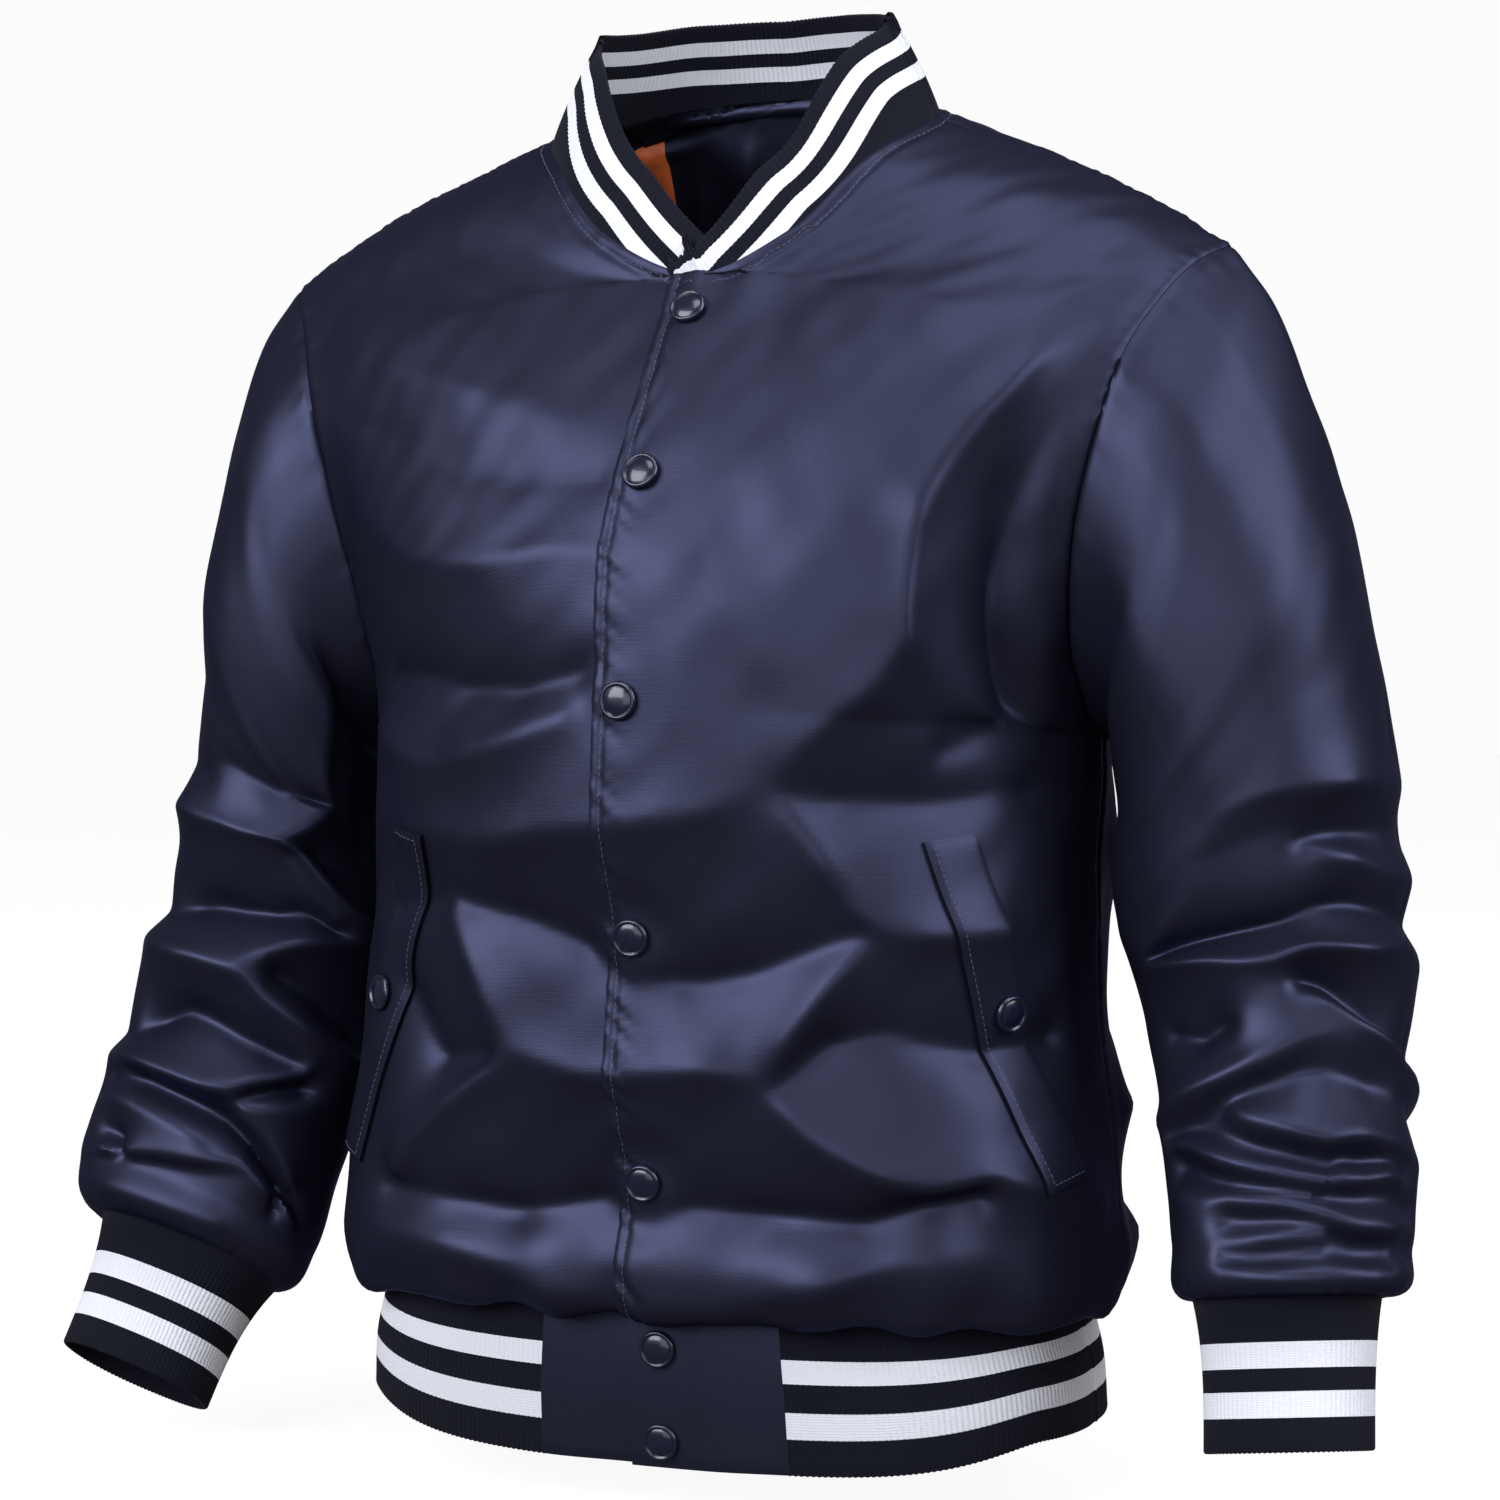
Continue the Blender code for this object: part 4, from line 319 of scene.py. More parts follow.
def through(knots, values, places):
    """A smooth curve through the values at the knots, read at the given places."""
    knots = np.asarray(knots, float)
    values = np.asarray(values, float)
    steps = np.diff(knots)[:, None]
    secants = np.diff(values, axis=0) / steps
    slopes = np.vstack([secants[:1], secants[:1], secants[1:]])[: len(knots)]
    slopes[-1] = secants[-1]
    slopes[1:-1] = secants[:-1] * steps[1:] + secants[1:] * steps[:-1]
    slopes[1:-1] /= steps[1:] + steps[:-1]
    places = np.asarray(places, float)
    cell = np.clip(np.searchsorted(knots, places, "right") - 1, 0, len(knots) - 2)
    width = steps[cell]
    t = ((places - knots[cell])[:, None]) / width
    return (
        values[cell] * (1 + 2 * t) * (1 - t) ** 2
        + slopes[cell] * width * t * (1 - t) ** 2
        + values[cell + 1] * t * t * (3 - 2 * t)
        + slopes[cell + 1] * width * t * t * (t - 1)
    )


def heading(turn, fall, side):
    """Unit vectors that leave the X axis by turn towards the side and by fall downwards."""
    turn = np.radians(turn)
    fall = np.radians(fall)
    level = np.cos(fall)
    return np.stack([np.cos(turn) * level, side * np.sin(turn) * level, -np.sin(fall)], -1)


def marks_along(line):
    """The distance from the start of a line to each of its points."""
    return np.concatenate([[0.0], np.cumsum(np.linalg.norm(np.diff(line, axis=0), axis=1))])


def along(line, distances, values=None):
    """The points of a line, or the values at them, at these distances from its start."""
    marks = marks_along(line)
    values = line if values is None else values
    return np.stack([np.interp(distances, marks, values[:, axis]) for axis in range(3)], -1)


def length(line):
    return np.linalg.norm(np.diff(line, axis=0), axis=1).sum()


def grid_places(knots, counts):
    """Places from knot to knot, each step in as many even cells as counts says."""
    steps = zip(knots, knots[1:], counts)
    cells = [start + (end - start) * np.arange(count) / count for start, end, count in steps]
    return np.concatenate([*cells, knots[-1:]])


def bezier(start, leave, arrive, end, full):
    """A line from start to end, with the directions in which it leaves and arrives."""
    reach = full * np.linalg.norm(end - start)
    t = np.linspace(0.0, 1.0, LINE_POINTS + 1)[:, None]
    points = (start, start + leave * reach, end - arrive * reach, end)
    weights = ((1 - t) ** 3, 3 * t * (1 - t) ** 2, 3 * t * t * (1 - t), t**3)
    return sum(weight * point for weight, point in zip(weights, points))


class Sheet:
    """A piece's outer points, the quads between them, and where each is on its cloth."""

    def __init__(self, name, points, quads, cloth, girth=None, thickness=CLOTH):
        self.name = name
        self.girth = girth
        self.thickness = thickness
        used = np.unique(quads)
        place = np.full(points.size // 3, -1)
        place[used] = np.arange(len(used))
        self.points = points.reshape(-1, 3)[used]
        self.cloth = cloth.reshape(-1, 2)[used]
        self.quads = place[quads]

    def rim(self):
        """The directed edges that only one face has, one in each row."""
        tails = self.quads.ravel()
        heads = np.roll(self.quads, -1, axis=1).ravel()
        count = len(self.points)
        lone = ~np.isin(heads * count + tails, tails * count + heads)
        return np.stack([tails[lone], heads[lone]], 1)

    def rim_ways(self):
        """The direction of the rim at each of its points, with the cloth on its left."""
        ways = np.zeros_like(self.points)
        rim = self.rim()
        way = unit(self.points[rim[:, 1]] - self.points[rim[:, 0]])
        for end in range(2):
            np.add.at(ways, rim[:, end], way)
        return ways


def grid_quads(rows, columns, wrap=False, keep=lambda row, column: True):
    """Quads of a grid whose point numbers run along the columns first."""
    width = columns if wrap else columns + 1
    quads = []
    for row in range(rows):
        for column in range(columns):
            if keep(row, column):
                right = (column + 1) % width
                here = row * width
                quads.append((here + column, here + right, here + width + right, here + width + column))
    return np.array(quads)


def facing(quads, side):
    """The quads as they are where side is positive, else turned over."""
    return quads if side > 0 else quads[:, ::-1]


# ---------------------------------------------------------------- the body's own lines
def row_number(rows, name):
    return [row.name for row in rows].index(name)


def ends(rows):
    start = np.array([(r.x_in, r.y_in, r.z_in) for r in rows], float)
    end = np.array([(r.x_out, r.y_out, r.z_out) for r in rows], float)
    return start, end


def half_lines(rows, other, side):
    """The section lines of a half panel at each grid row, and the height that each names.

    other is the panel that it meets at the shoulder and the underarm.
    """
    under = row_number(rows, "underarm")
    neck = row_number(rows, "neck_base")
    start, end = ends(rows)
    other_start, other_end = ends(other)
    knots = (marks_along(start) + marks_along(end)) / 2
    cells = [row.cells * FINE_ROWS for row in rows]
    places = grid_places(knots, cells)
    mirrored = start[neck + 1] * (-1, 1, 1)
    past_shoulder = knots[-1] + (knots[-1] - knots[-2])
    before_neck = knots[neck] - (knots[neck + 1] - knots[neck])
    before_under = knots[under] - (knots[under + 1] - knots[under])
    low_in = through(knots[: neck + 1], start[: neck + 1], places)
    high_in = through(
        np.concatenate([[before_neck], knots[neck:], [past_shoulder]]),
        np.vstack([mirrored, start[neck:], other_start[-2]]),
        places,
    )
    inner = np.where((places >= knots[neck])[:, None], high_in, low_in)
    low_out = through(knots[: under + 1], end[: under + 1], places)
    high_out = through(
        np.concatenate([[before_under], knots[under:], [past_shoulder]]),
        np.vstack([other_end[under + 1], end[under:], other_end[-2]]),
        places,
    )
    outer = np.where((places >= knots[under])[:, None], high_out, low_out)
    shape = through(
        knots, [(r.turn_in, r.fall_in, r.turn_out, r.fall_out, r.full) for r in rows], places
    )
    leave = heading(shape[:, 0], shape[:, 1], side)
    arrive = heading(shape[:, 2], shape[:, 3], side)
    lines = [bezier(a, d, e, b, f) for a, d, e, b, f in zip(inner, leave, arrive, outer, shape[:, 4])]
    heights = rows[under].z_out + places - knots[under]
    return lines, heights, sum(cells[:neck]), sum(cells[:under])


class Half:
    """A half panel as a grid: points[row, column], from the centre line to the side."""

    def __init__(self, rows, other, side, strip):
        lines, self.heights, self.neck, self.under = half_lines(rows, other, side)
        self.strip = strip
        self.rows = len(lines) - 1
        self.columns = HALF_COLUMNS + strip
        grid = []
        around = []
        for line in lines:
            step = length(line) / HALF_COLUMNS
            past = OVERLAP / max(strip, 1) * np.arange(-strip, 0)
            distances = np.concatenate([past, step * np.arange(HALF_COLUMNS + 1)])
            points = along(line, np.abs(distances))
            points[distances < 0, 0] *= -1
            grid.append(points)
            around.append(distances / length(line))
        self.points = np.array(grid)
        self.around = np.array(around)

    def quads(self):
        def keep(row, column):
            return column >= self.strip or row < self.neck

        return grid_quads(self.rows, self.columns, keep=keep)

    def neckline(self, points):
        """The points from the front edge, or the centre back, to the shoulder seam."""
        base = points[self.neck, : self.strip + 1]
        return np.vstack([base, points[self.neck + 1 :, self.strip]])

    def armhole(self, points):
        """The points from the underarm to the shoulder tip."""
        return points[self.under :, -1]


def swayed(points):
    """Moves the lower body to the wearer's right, and the front edges at the neck left."""
    away = np.abs(points[..., 0])
    share = 1.0 - smoothstep(points[..., 2], SWAY_START, SWAY_END)
    lean = smoothstep(points[..., 2], LEAN_START, LEAN_END) * (1.0 - smoothstep(away, 0.0, LEAN_REACH))
    result = points.copy()
    result[..., 0] -= HEM_SWAY * share * smoothstep(away, 0.0, SHOULDER_X)
    result[..., 0] += NECK_LEAN * lean * (points[..., 1] < 0)
    return result


def face_sums(points, quads):
    """The sum of the face normals round each point, weighted by area."""
    corners = points[quads]
    faces = np.cross(corners[:, 2] - corners[:, 0], corners[:, 3] - corners[:, 1])
    sums = np.zeros_like(points)
    for corner in range(4):
        np.add.at(sums, quads[:, corner], faces)
    return sums


def grid_normals(grid, quads):
    """Unit normals of a grid whose quads these are."""
    return unit(face_sums(grid.reshape(-1, 3), quads)).reshape(grid.shape)


# ---------------------------------------------------------------- folds
# Folds are given by the lines along which the cloth turns: crests stand out and valleys
# lie in, and between them the cloth spans flat, as satin does. Each line is a row of points,
# each a, h and how far the cloth is lifted there, in millimetres. On the torso a runs round
# from the centre front, positive to the wearer's left, and h is the height. On a sleeve a
# runs round from the outer side to the front, and h down the arm.
TURNS = {
    "torso": (
        ((280, -70, 3), (240, -100, 6), (200, -150, 8), (180, -180, 9), (160, -240, 8), (120, -275, 7),
         (90, -300, 5), (75, -318, 3), (40, -330, 5), (0, -335, 5), (-80, -343, 4), (-140, -340, 3)),
        ((265, -130, -4), (252, -165, -8), (243, -200, -10), (237, -235, -10), (226, -262, -9),
         (205, -283, -6), (160, -300, -4)),
        ((270, -305, -3), (220, -315, -6), (160, -323, -5), (110, -324, -2), (80, -323, 2)),
        ((80, -326, 3), (100, -350, 4), (120, -375, 3), (150, -382, 4), (200, -380, 2)),
        ((120, -380, 1), (90, -390, -3), (60, -400, -5), (30, -405, -5), (0, -400, -4), (-30, -388, -5),
         (-60, -377, -4), (-110, -370, -2), (-160, -375, -3)),
        ((120, -385, 2), (100, -405, 2), (80, -430, 3), (70, -447, 2), (40, -440, 4), (0, -445, 4),
         (-30, -446, 4), (-70, -436, 3), (-90, -400, 2), (-110, -372, -1)),
        ((240, -430, -5), (180, -435, -5), (130, -425, -4), (100, -430, -3), (73, -450, 1)),
        ((70, -452, 2), (90, -470, 3), (120, -485, 4), (150, -495, 3), (180, -490, 5), (220, -500, 5),
         (270, -510, 4)),
        ((180, -497, -1), (151, -500, -2), (116, -511, -3), (72, -509, -5), (26, -506, -5), (-23, -504, -5),
         (-72, -514, -5), (-119, -509, -2), (-160, -506, -1)),
        ((250, -530, 3), (180, -525, 2), (137, -524, 2), (97, -538, 4), (43, -553, 5), (-11, -554, 5),
         (-56, -549, 5), (-110, -530, 3), (-150, -527, 3), (-200, -530, 3)),
        ((-260, -70, 1.5), (-200, -100, 2), (-140, -125, 2.5), (-80, -145, 2.5), (-30, -155, 1.5)),
        ((-260, -110, 0), (-200, -135, -0.5), (-140, -160, -0.5), (-80, -175, 0), (-30, -180, 0.5)),
        ((-270, -140, 2.4), (-220, -170, 3), (-160, -200, 3.6), (-100, -215, 3.6), (-40, -215, 3),
         (0, -220, 2.4), (50, -220, 1.8)),
        ((-180, -255, -3), (-140, -263, -4), (-100, -275, -4), (-60, -280, -3), (-30, -273, -2),
         (0, -270, 0)),
        ((-180, -285, 3), (-140, -305, 4), (-110, -310, 4), (-70, -302, 4), (-30, -292, 3)),
        ((-150, -410, -4), (-120, -445, -4), (-80, -442, 0)),
        ((-75, -440, 3), (-110, -465, 3), (-150, -500, 2)),
        ((340, -120, 3), (410, -190, 5), (490, -250, 5), (580, -260, 4), (-500, -240, 5), (-420, -170, 5),
         (-350, -110, 3)),
        ((310, -270, -3), (380, -300, -5), (450, -320, -4), (520, -310, 0)),
        ((-310, -250, -3), (-370, -280, -5), (-440, -310, -4), (-510, -320, 0)),
        ((310, -340, 3), (380, -365, 5), (450, -360, 4), (520, -335, 3), (580, -330, 3), (-500, -350, 4),
         (-430, -370, 5), (-340, -350, 3)),
        ((330, -420, -4), (410, -430, -5), (490, -400, -4), (560, -385, -4), (-530, -400, -5),
         (-440, -430, -5), (-350, -410, -3)),
        ((310, -470, 4), (400, -475, 4), (480, -455, 4), (560, -450, 4), (-530, -460, 4), (-430, -470, 5),
         (-330, -460, 3)),
        ((340, -505, -3), (440, -508, -5), (540, -502, -4), (-540, -503, -5), (-440, -507, -4),
         (-340, -504, -3)),
        ((270, -530, 3), (360, -532, 4), (480, -532, 5), (580, -530, 4), (-480, -532, 5), (-340, -530, 4),
         (-200, -530, 3)),
    ),
    "left_sleeve": (
        ((125, 30, 3), (120, 80, 4), (112, 140, 5), (103, 190, 6), (80, 196, 6), (50, 206, 6),
         (20, 214, 2.2), (-20, 214, 1.8), (-60, 195, 2)),
        ((103, 192, 6), (115, 215, 4), (128, 240, 3), (143, 260, 2), (157, 279, 2)),
        ((75, 224, -1), (45, 228, -2), (20, 231, -0.9), (-20, 232, -0.9)),
        ((70, 230, 1), (50, 238, 2), (30, 246, 1.1), (15, 250, 1.1), (-30, 250, 0.9), (-70, 245, 2)),
        ((155, 280, -1), (120, 276, -3), (87, 270, -3), (72, 261, -3), (50, 261, -3), (20, 267, -1.4),
         (-20, 268, -1.4), (-70, 262, -3)),
        ((158, 285, 2), (140, 289, 3), (120, 292, 4), (105, 297, 5), (95, 297, 5), (80, 289, 5),
         (50, 289, 5), (20, 280, 1.8), (-20, 282, 1.8), (-90, 280, 3)),
        ((165, 325, -3), (140, 333, -4), (120, 325, -3)),
        ((103, 300, 4), (110, 320, 1), (118, 342, 0)),
        ((85, 305, -2), (70, 309, -3), (55, 316, -3), (40, 321, -3), (18, 327, -1.4), (-30, 322, -1.4),
         (-90, 318, -3)),
        ((82, 310, 0), (72, 314, 1.5), (57, 323, 3), (40, 328, 3.5), (18, 334, 1.4), (-30, 338, 1.4),
         (-70, 338, 3)),
        ((180, 366, 3), (152, 360, 3), (127, 356, 3), (108, 348, 3), (87, 335, 2), (68, 327, 1.5)),
        ((165, 369, -1), (140, 366, -2), (125, 361, -2), (108, 356, -2), (90, 349, -2), (70, 347, -2),
         (45, 350, -2), (25, 350, -0.4), (-20, 352, -1.4), (-70, 354, -3)),
        ((123, 365, 0), (112, 370, 2), (95, 375, 3), (75, 378, 3), (60, 374, 3), (40, 373, 2),
         (15, 372, 1.4), (-30, 372, 1.4)),
        ((70, 381, -2), (50, 381, -2.5), (30, 379, -0.9), (10, 381, -0.4)),
        ((175, 371, -1), (150, 372, -2), (130, 375, -2), (112, 380, -2), (90, 384, -2), (72, 385, -2)),
        ((180, 374, 2), (153, 377, 2), (136, 383, 2.5), (122, 387, 3), (100, 391, 3), (78, 393, 3),
         (55, 390, 2.5), (35, 385, 2.5), (10, 386, 0.9), (-40, 390, 1.4)),
        ((170, 383, -2), (150, 388, -2), (135, 391, -2), (120, 393, -2), (90, 396, -2), (60, 396, -2),
         (30, 394, -0.9), (0, 396, -0.9)),
        ((165, 396, 1.5), (140, 398, 1.5), (123, 399, 2), (98, 400, 2.5), (80, 403, 2.5), (62, 408, 3),
         (35, 408, 3), (10, 404, 0.9), (-30, 408, 1.1)),
        ((130, 405, -1.5), (100, 406, -2), (80, 408, -1), (60, 414, -1.5), (30, 414, -0.9), (0, 413, -0.7)),
        ((150, 414, 1), (120, 415, 2), (105, 412, 2), (92, 410, 2), (76, 410, 1.5)),
        ((130, 419, -1), (105, 418, -1.5), (80, 416, -1), (60, 419, -1), (30, 420, -0.4)),
        ((140, 421, 1.5), (120, 422, 2), (102, 426, 2.5), (83, 426, 2.5), (70, 423, 2), (40, 424, 2),
         (0, 422, 0.9), (-40, 424, 0.9)),
    ),
    "right_sleeve": (
        ((150, 40, 3), (158, 80, 4), (162, 120, 4), (163, 145, 3)),
        ((185, 70, -2), (190, 110, -4), (192, 150, -5), (190, 190, -4)),
        ((160, 141, 0), (130, 164, -1.5), (112, 171, -2), (96, 176, -2), (72, 198, -1), (30, 205, -0.4)),
        ((162, 148, 3), (145, 180, 4.5), (132, 200, 5.5), (110, 212, 5.5), (90, 218, 5.5), (68, 221, 5.5),
         (30, 230, 1.8), (0, 232, 1.4), (-50, 212, 0.7)),
        ((133, 202, 5.5), (147, 213, 4.5), (162, 234, 4), (178, 247, 3.5), (200, 255, 2)),
        ((150, 200, 0), (165, 218, -2), (180, 232, -3), (200, 243, -2)),
        ((137, 210, 2), (150, 232, 1.5), (165, 255, 1.5)),
        ((170, 263, -1), (158, 256, -2), (145, 255, -3), (130, 266, -4), (105, 273, -5), (80, 279, -5),
         (53, 286, -1.8), (30, 284, -1.8), (0, 278, -1.4), (-70, 262, -3)),
        ((172, 268, 2), (155, 273, 3), (143, 280, 3.5), (130, 291, 4), (117, 304, 5), (90, 305, 5),
         (45, 301, 1.8), (0, 300, 1.4), (-70, 296, 3)),
        ((118, 305, 5), (136, 312, 4), (160, 317, 4), (177, 322, 3.5), (210, 327, 3)),
        ((135, 300, -1), (160, 304, -3), (180, 309, -4), (205, 315, -3)),
        ((120, 310, 2), (145, 322, 1), (168, 334, 1.5)),
        ((165, 335, -1), (147, 335, -3), (126, 334, -4), (112, 331, -4.5), (96, 328, -5), (76, 338, -5),
         (60, 347, -1.4), (45, 352, -1.4), (0, 340, -1.4), (-70, 328, -3)),
        ((172, 337, 2), (159, 343, 2.5), (140, 351, 3.5), (133, 356, 4.5), (114, 361, 5), (80, 360, 4.5),
         (45, 361, 1.1), (0, 362, 1.4), (-80, 355, 3)),
        ((135, 360, 0), (150, 352, -1.5), (175, 345, -2)),
        ((136, 363, 3), (154, 358, 2.5), (180, 351, 2)),
        ((45, 371, -1.1), (62, 368, -1.1), (86, 368, -3), (116, 371, -3), (135, 375, -3.5),
         (150, 383, -3.5), (165, 396, -3.5), (172, 410, -2)),
        ((45, 386, 0.7), (70, 382, 2), (100, 384, 2.5), (120, 388, 3)),
        ((65, 412, 4), (95, 408, 4.5), (120, 401, 4.5), (137, 394, 3.5)),
        ((65, 417, 1.5), (95, 413, 2), (125, 405, 2), (145, 399, 2)),
        ((143, 390, 3), (155, 396, 3), (170, 404, 3), (185, 411, 2.5)),
        ((165, 396, -3), (180, 404, -2), (195, 410, -1)),
        ((138, 369, 2), (153, 375, 2), (165, 383, 2), (178, 394, 1.5)),
        ((62, 400, -0.7), (75, 405, -2), (84, 412, -1)),
        ((140, 430, 4), (110, 432, 5), (80, 430, 5), (50, 430, 1.4), (0, 428, 1.4), (-50, 425, 1.1)),
        ((-30, 378, -1.1), (-90, 380, -3)),
        ((-30, 405, 1.1), (-90, 400, 3)),
    ),
}
TURN_UNIT = 0.001  # the table above is in millimetres
VALLEY_DEPTH = 1.35  # valleys lie in this much further than in the solids
SLEEVE_GIRTH = 0.42
TORSO_GIRTH = 4 * TORSO_WIDTH
TORSO_HEIGHTS = (-0.60, 0.08)
SLEEVE_HEIGHTS = (-0.04, 0.50)
# The grids on which the folds are worked out, each with half the cells of the one before.
RELIEF_STEPS = tuple(0.029 / 2**level for level in range(6))
RELIEF_ROUNDS = 60
RELIEF_REACH = 0.07  # lifts die out over this distance from the lines
# Gathers along the hem: waves round, how high they stand, and where they start.
Gather = namedtuple("Gather", "waves rise start")
HEM_GATHERS = (Gather(17, 0.0016, 0.3), Gather(23, 0.0008, 1.9))
HEM_GATHER_FADE = (-0.552, -0.47)
CUFF_CALM = 0.016  # and fade out this near a cuff
HEM_CALM = 0.010  # and the hem
UNDERARM_CALM = (0.015, 0.06)  # folds grow over this distance from the side seam
UNDERARM_CALM_HEIGHTS = (-0.44, -0.38)  # above these heights


class Relief:
    """How far the cloth is lifted, on a grid that is wrapped round the body or the arm."""

    def __init__(self, where, girth, heights):
        self.girth = girth
        self.foot = heights[0]
        self.cell = heights[1] - heights[0]
        self.field = np.zeros((2, 2))
        for step in RELIEF_STEPS:
            self.columns = round(girth / step)
            self.rows = round((heights[1] - heights[0]) / step) + 1
            self.step = step
            a, h = np.meshgrid(
                np.arange(self.columns) * girth / self.columns, self.foot + np.arange(self.rows) * step
            )
            start = self.read(a, h)
            held, value = self.lines(where)
            spring = 4.0 + (step / RELIEF_REACH) ** 2
            for _ in range(RELIEF_ROUNDS):
                level = np.vstack([start[:1], start, start[-1:]])
                beside = np.roll(start, 1, axis=1) + np.roll(start, -1, axis=1)
                start = (level[:-2] + level[2:] + beside) / spring
                start[held] = value[held]
            self.field = start
            self.cell = step
            if step == RELIEF_WIDE_STEP:
                broad = blurred(start, RELIEF_WIDE)
        fine = blurred(self.field, RELIEF_SOFTENING)
        self.field = broad
        self.cell = RELIEF_WIDE_STEP
        broad = self.read(a, h)
        self.field = fine + RELIEF_SHARPENING * (fine - broad)
        self.cell = step

    def lines(self, where):
        """Which cells the lines cross, and the lift there."""
        total = np.zeros((self.rows, self.columns))
        count = np.zeros((self.rows, self.columns))
        for turn in TURNS[where]:
            points = np.array(turn) * TURN_UNIT
            points[:, 2] *= np.where(points[:, 2] < 0, VALLEY_DEPTH, 1.0)
            for start, end in zip(points[:-1], points[1:]):
                run = end - start
                run[0] = (run[0] + self.girth / 2) % self.girth - self.girth / 2
                shares = np.linspace(0.0, 1.0, 2 + int(2 * np.hypot(run[0], run[1]) / self.step))
                places = start + shares[:, None] * run
                column = np.round(places[:, 0] / self.girth * self.columns).astype(int) % self.columns
                row = np.round((places[:, 1] - self.foot) / self.step).astype(int)
                np.add.at(total, (row, column), places[:, 2])
                np.add.at(count, (row, column), 1.0)
        return count > 0, total / np.maximum(count, 1.0)

    def read(self, a, h):
        columns = self.field.shape[1]
        wrapped = np.hstack([self.field, self.field[:, :2]])
        across = (np.asarray(a) / self.girth * columns) % columns
        return between(wrapped, (np.asarray(h) - self.foot) / self.cell, across)


# ---------------------------------------------------------------- seams and small folds
def bell(distance, width):
    return np.exp(-((distance / width) ** 2))


def puckered(puckers, run, phase=0.0):
    return sum(w.rise * np.sin(2 * math.pi * run / w.pitch + w.start + phase) for w in puckers)


def seam_puff(distance, run, phase):
    """The lift beside a seam: none on it, then a soft roll with small puckers."""
    clear = 1.0 - bell(distance, SEAM_DITCH)
    roll = SEAM_ROLL * bell(distance, SEAM_REACH)
    return clear * (roll + puckered(PUCKERS, run, phase) * bell(distance, PUCKER_REACH))


def ripples(a, h):
    """The slight unevenness of cloth that hangs free."""
    return sum(w.rise * np.sin(2 * math.pi * (a * w.across + h * w.down) + w.start) for w in RIPPLES)


def blurred(values, rounds):
    for _ in range(rounds):
        padded = np.pad(values, ((1, 1), (0, 0)), "edge")
        beside = padded[:-2] + padded[2:] + np.roll(values, 1, 1) + np.roll(values, -1, 1)
        values = (values * 4 + beside) / 8
    return values


# ---------------------------------------------------------------- torso panels
def nearest(points, line):
    """How far each point is from the nearest of a line's points, and which one that is."""
    away = np.array([np.linalg.norm(points - spot, axis=-1) for spot in line])
    return away.min(0), away.argmin(0)


def lap_lift(points, level):
    """The lift of a front near the centre line, level being 1 on top and -1 below."""
    return level * LAP_LIFT / 2 * (1.0 - smoothstep(points[..., 0], LAP_START, LAP_END))


def torso_lift(half, a, relief):
    h = np.broadcast_to(half.heights[:, None], a.shape)
    lift = relief.read(a, h)
    for height in FRONT_SNAP_HEIGHTS:
        away = np.hypot(a, half.points[..., 2] - height) + 2 * (half.points[..., 1] > 0)
        calm = smoothstep(away, SNAP_RADIUS, SNAP_CALM)
        centre = half.points[: half.neck, half.strip, 2]
        level = relief.read(0.0, np.interp(height, centre, half.heights[: half.neck]))
        lift = lift * calm + level * (1.0 - calm)
    side = smoothstep(np.abs(np.abs(a) - TORSO_WIDTH), *UNDERARM_CALM)
    lift = lift * (1.0 - (1.0 - side) * smoothstep(h, *UNDERARM_CALM_HEIGHTS))
    turns = a / (2 * TORSO_WIDTH) * math.pi
    fade = 1.0 - smoothstep(half.points[..., 2], *HEM_GATHER_FADE)
    waves = sum(g.rise * np.sin(g.waves * turns + g.start) for g in HEM_GATHERS)
    calm = smoothstep(half.heights - half.heights[0], 0, HEM_CALM)[:, None]
    return (lift + waves * fade + ripples(a, h)) * calm + panel_puffs(half)


def panel_puffs(half):
    """The rolls of cloth beside the seams of a half panel."""
    heights = half.heights[:, None]
    around = half.around * TORSO_WIDTH
    side = seam_puff(TORSO_WIDTH - around, heights, 0.0)
    hem = seam_puff(heights - heights[0], around, 1.3)
    shoulder = seam_puff(heights[-1] - heights, around, 2.1)
    return side + hem + shoulder


def edge_fold(half):
    """The lift along the front edge: rolled under at the edge, drawn in at its stitches."""
    steps = np.linalg.norm(np.diff(half.points, axis=1), axis=2)
    inside = np.pad(np.cumsum(steps, axis=1), ((0, 0), (1, 0)))
    shown = half.around * TORSO_WIDTH < 2 * OVERLAP
    fold = puckered(EDGE_PUCKERS, half.heights[:, None] + EDGE_SLANT * inside)
    fold = fold * bell(inside - EDGE_STITCH, PUCKER_REACH)
    fold = fold - EDGE_DITCH * bell(inside - EDGE_STITCH, EDGE_WIDTH)
    return (fold - EDGE_ROLL * bell(inside, EDGE_RADIUS)) * shown


def neck_fold(half):
    """The lift below the collar seam, drawn in at its row of stitches."""
    edge = half.neckline(half.points)
    away, spot = nearest(half.points, edge)
    puff = seam_puff(away, marks_along(edge)[spot], 0.7)
    return puff - EDGE_DITCH * bell(away - NECK_STITCH, EDGE_WIDTH)


def front_points(half, side, relief):
    """The outer points of one front, side being 1 for the wearer's left."""
    normals = grid_normals(half.points, half.quads())
    lift = torso_lift(half, side * half.around * TORSO_WIDTH, relief)
    lap_way = normals.copy()
    lap_way[:SAG_ROWS] = normals[SAG_ROWS]
    lapped = lap_way * lap_lift(half.points, side)[..., None]
    lift = lift + edge_fold(half) + neck_fold(half)
    return half.points + normals * lift[..., None] + lapped


def back_points(half, side, relief):
    normals = -grid_normals(half.points, half.quads())
    lift = torso_lift(half, side * (2.0 - half.around) * TORSO_WIDTH, relief)
    return half.points + normals * (lift + neck_fold(half))[..., None]


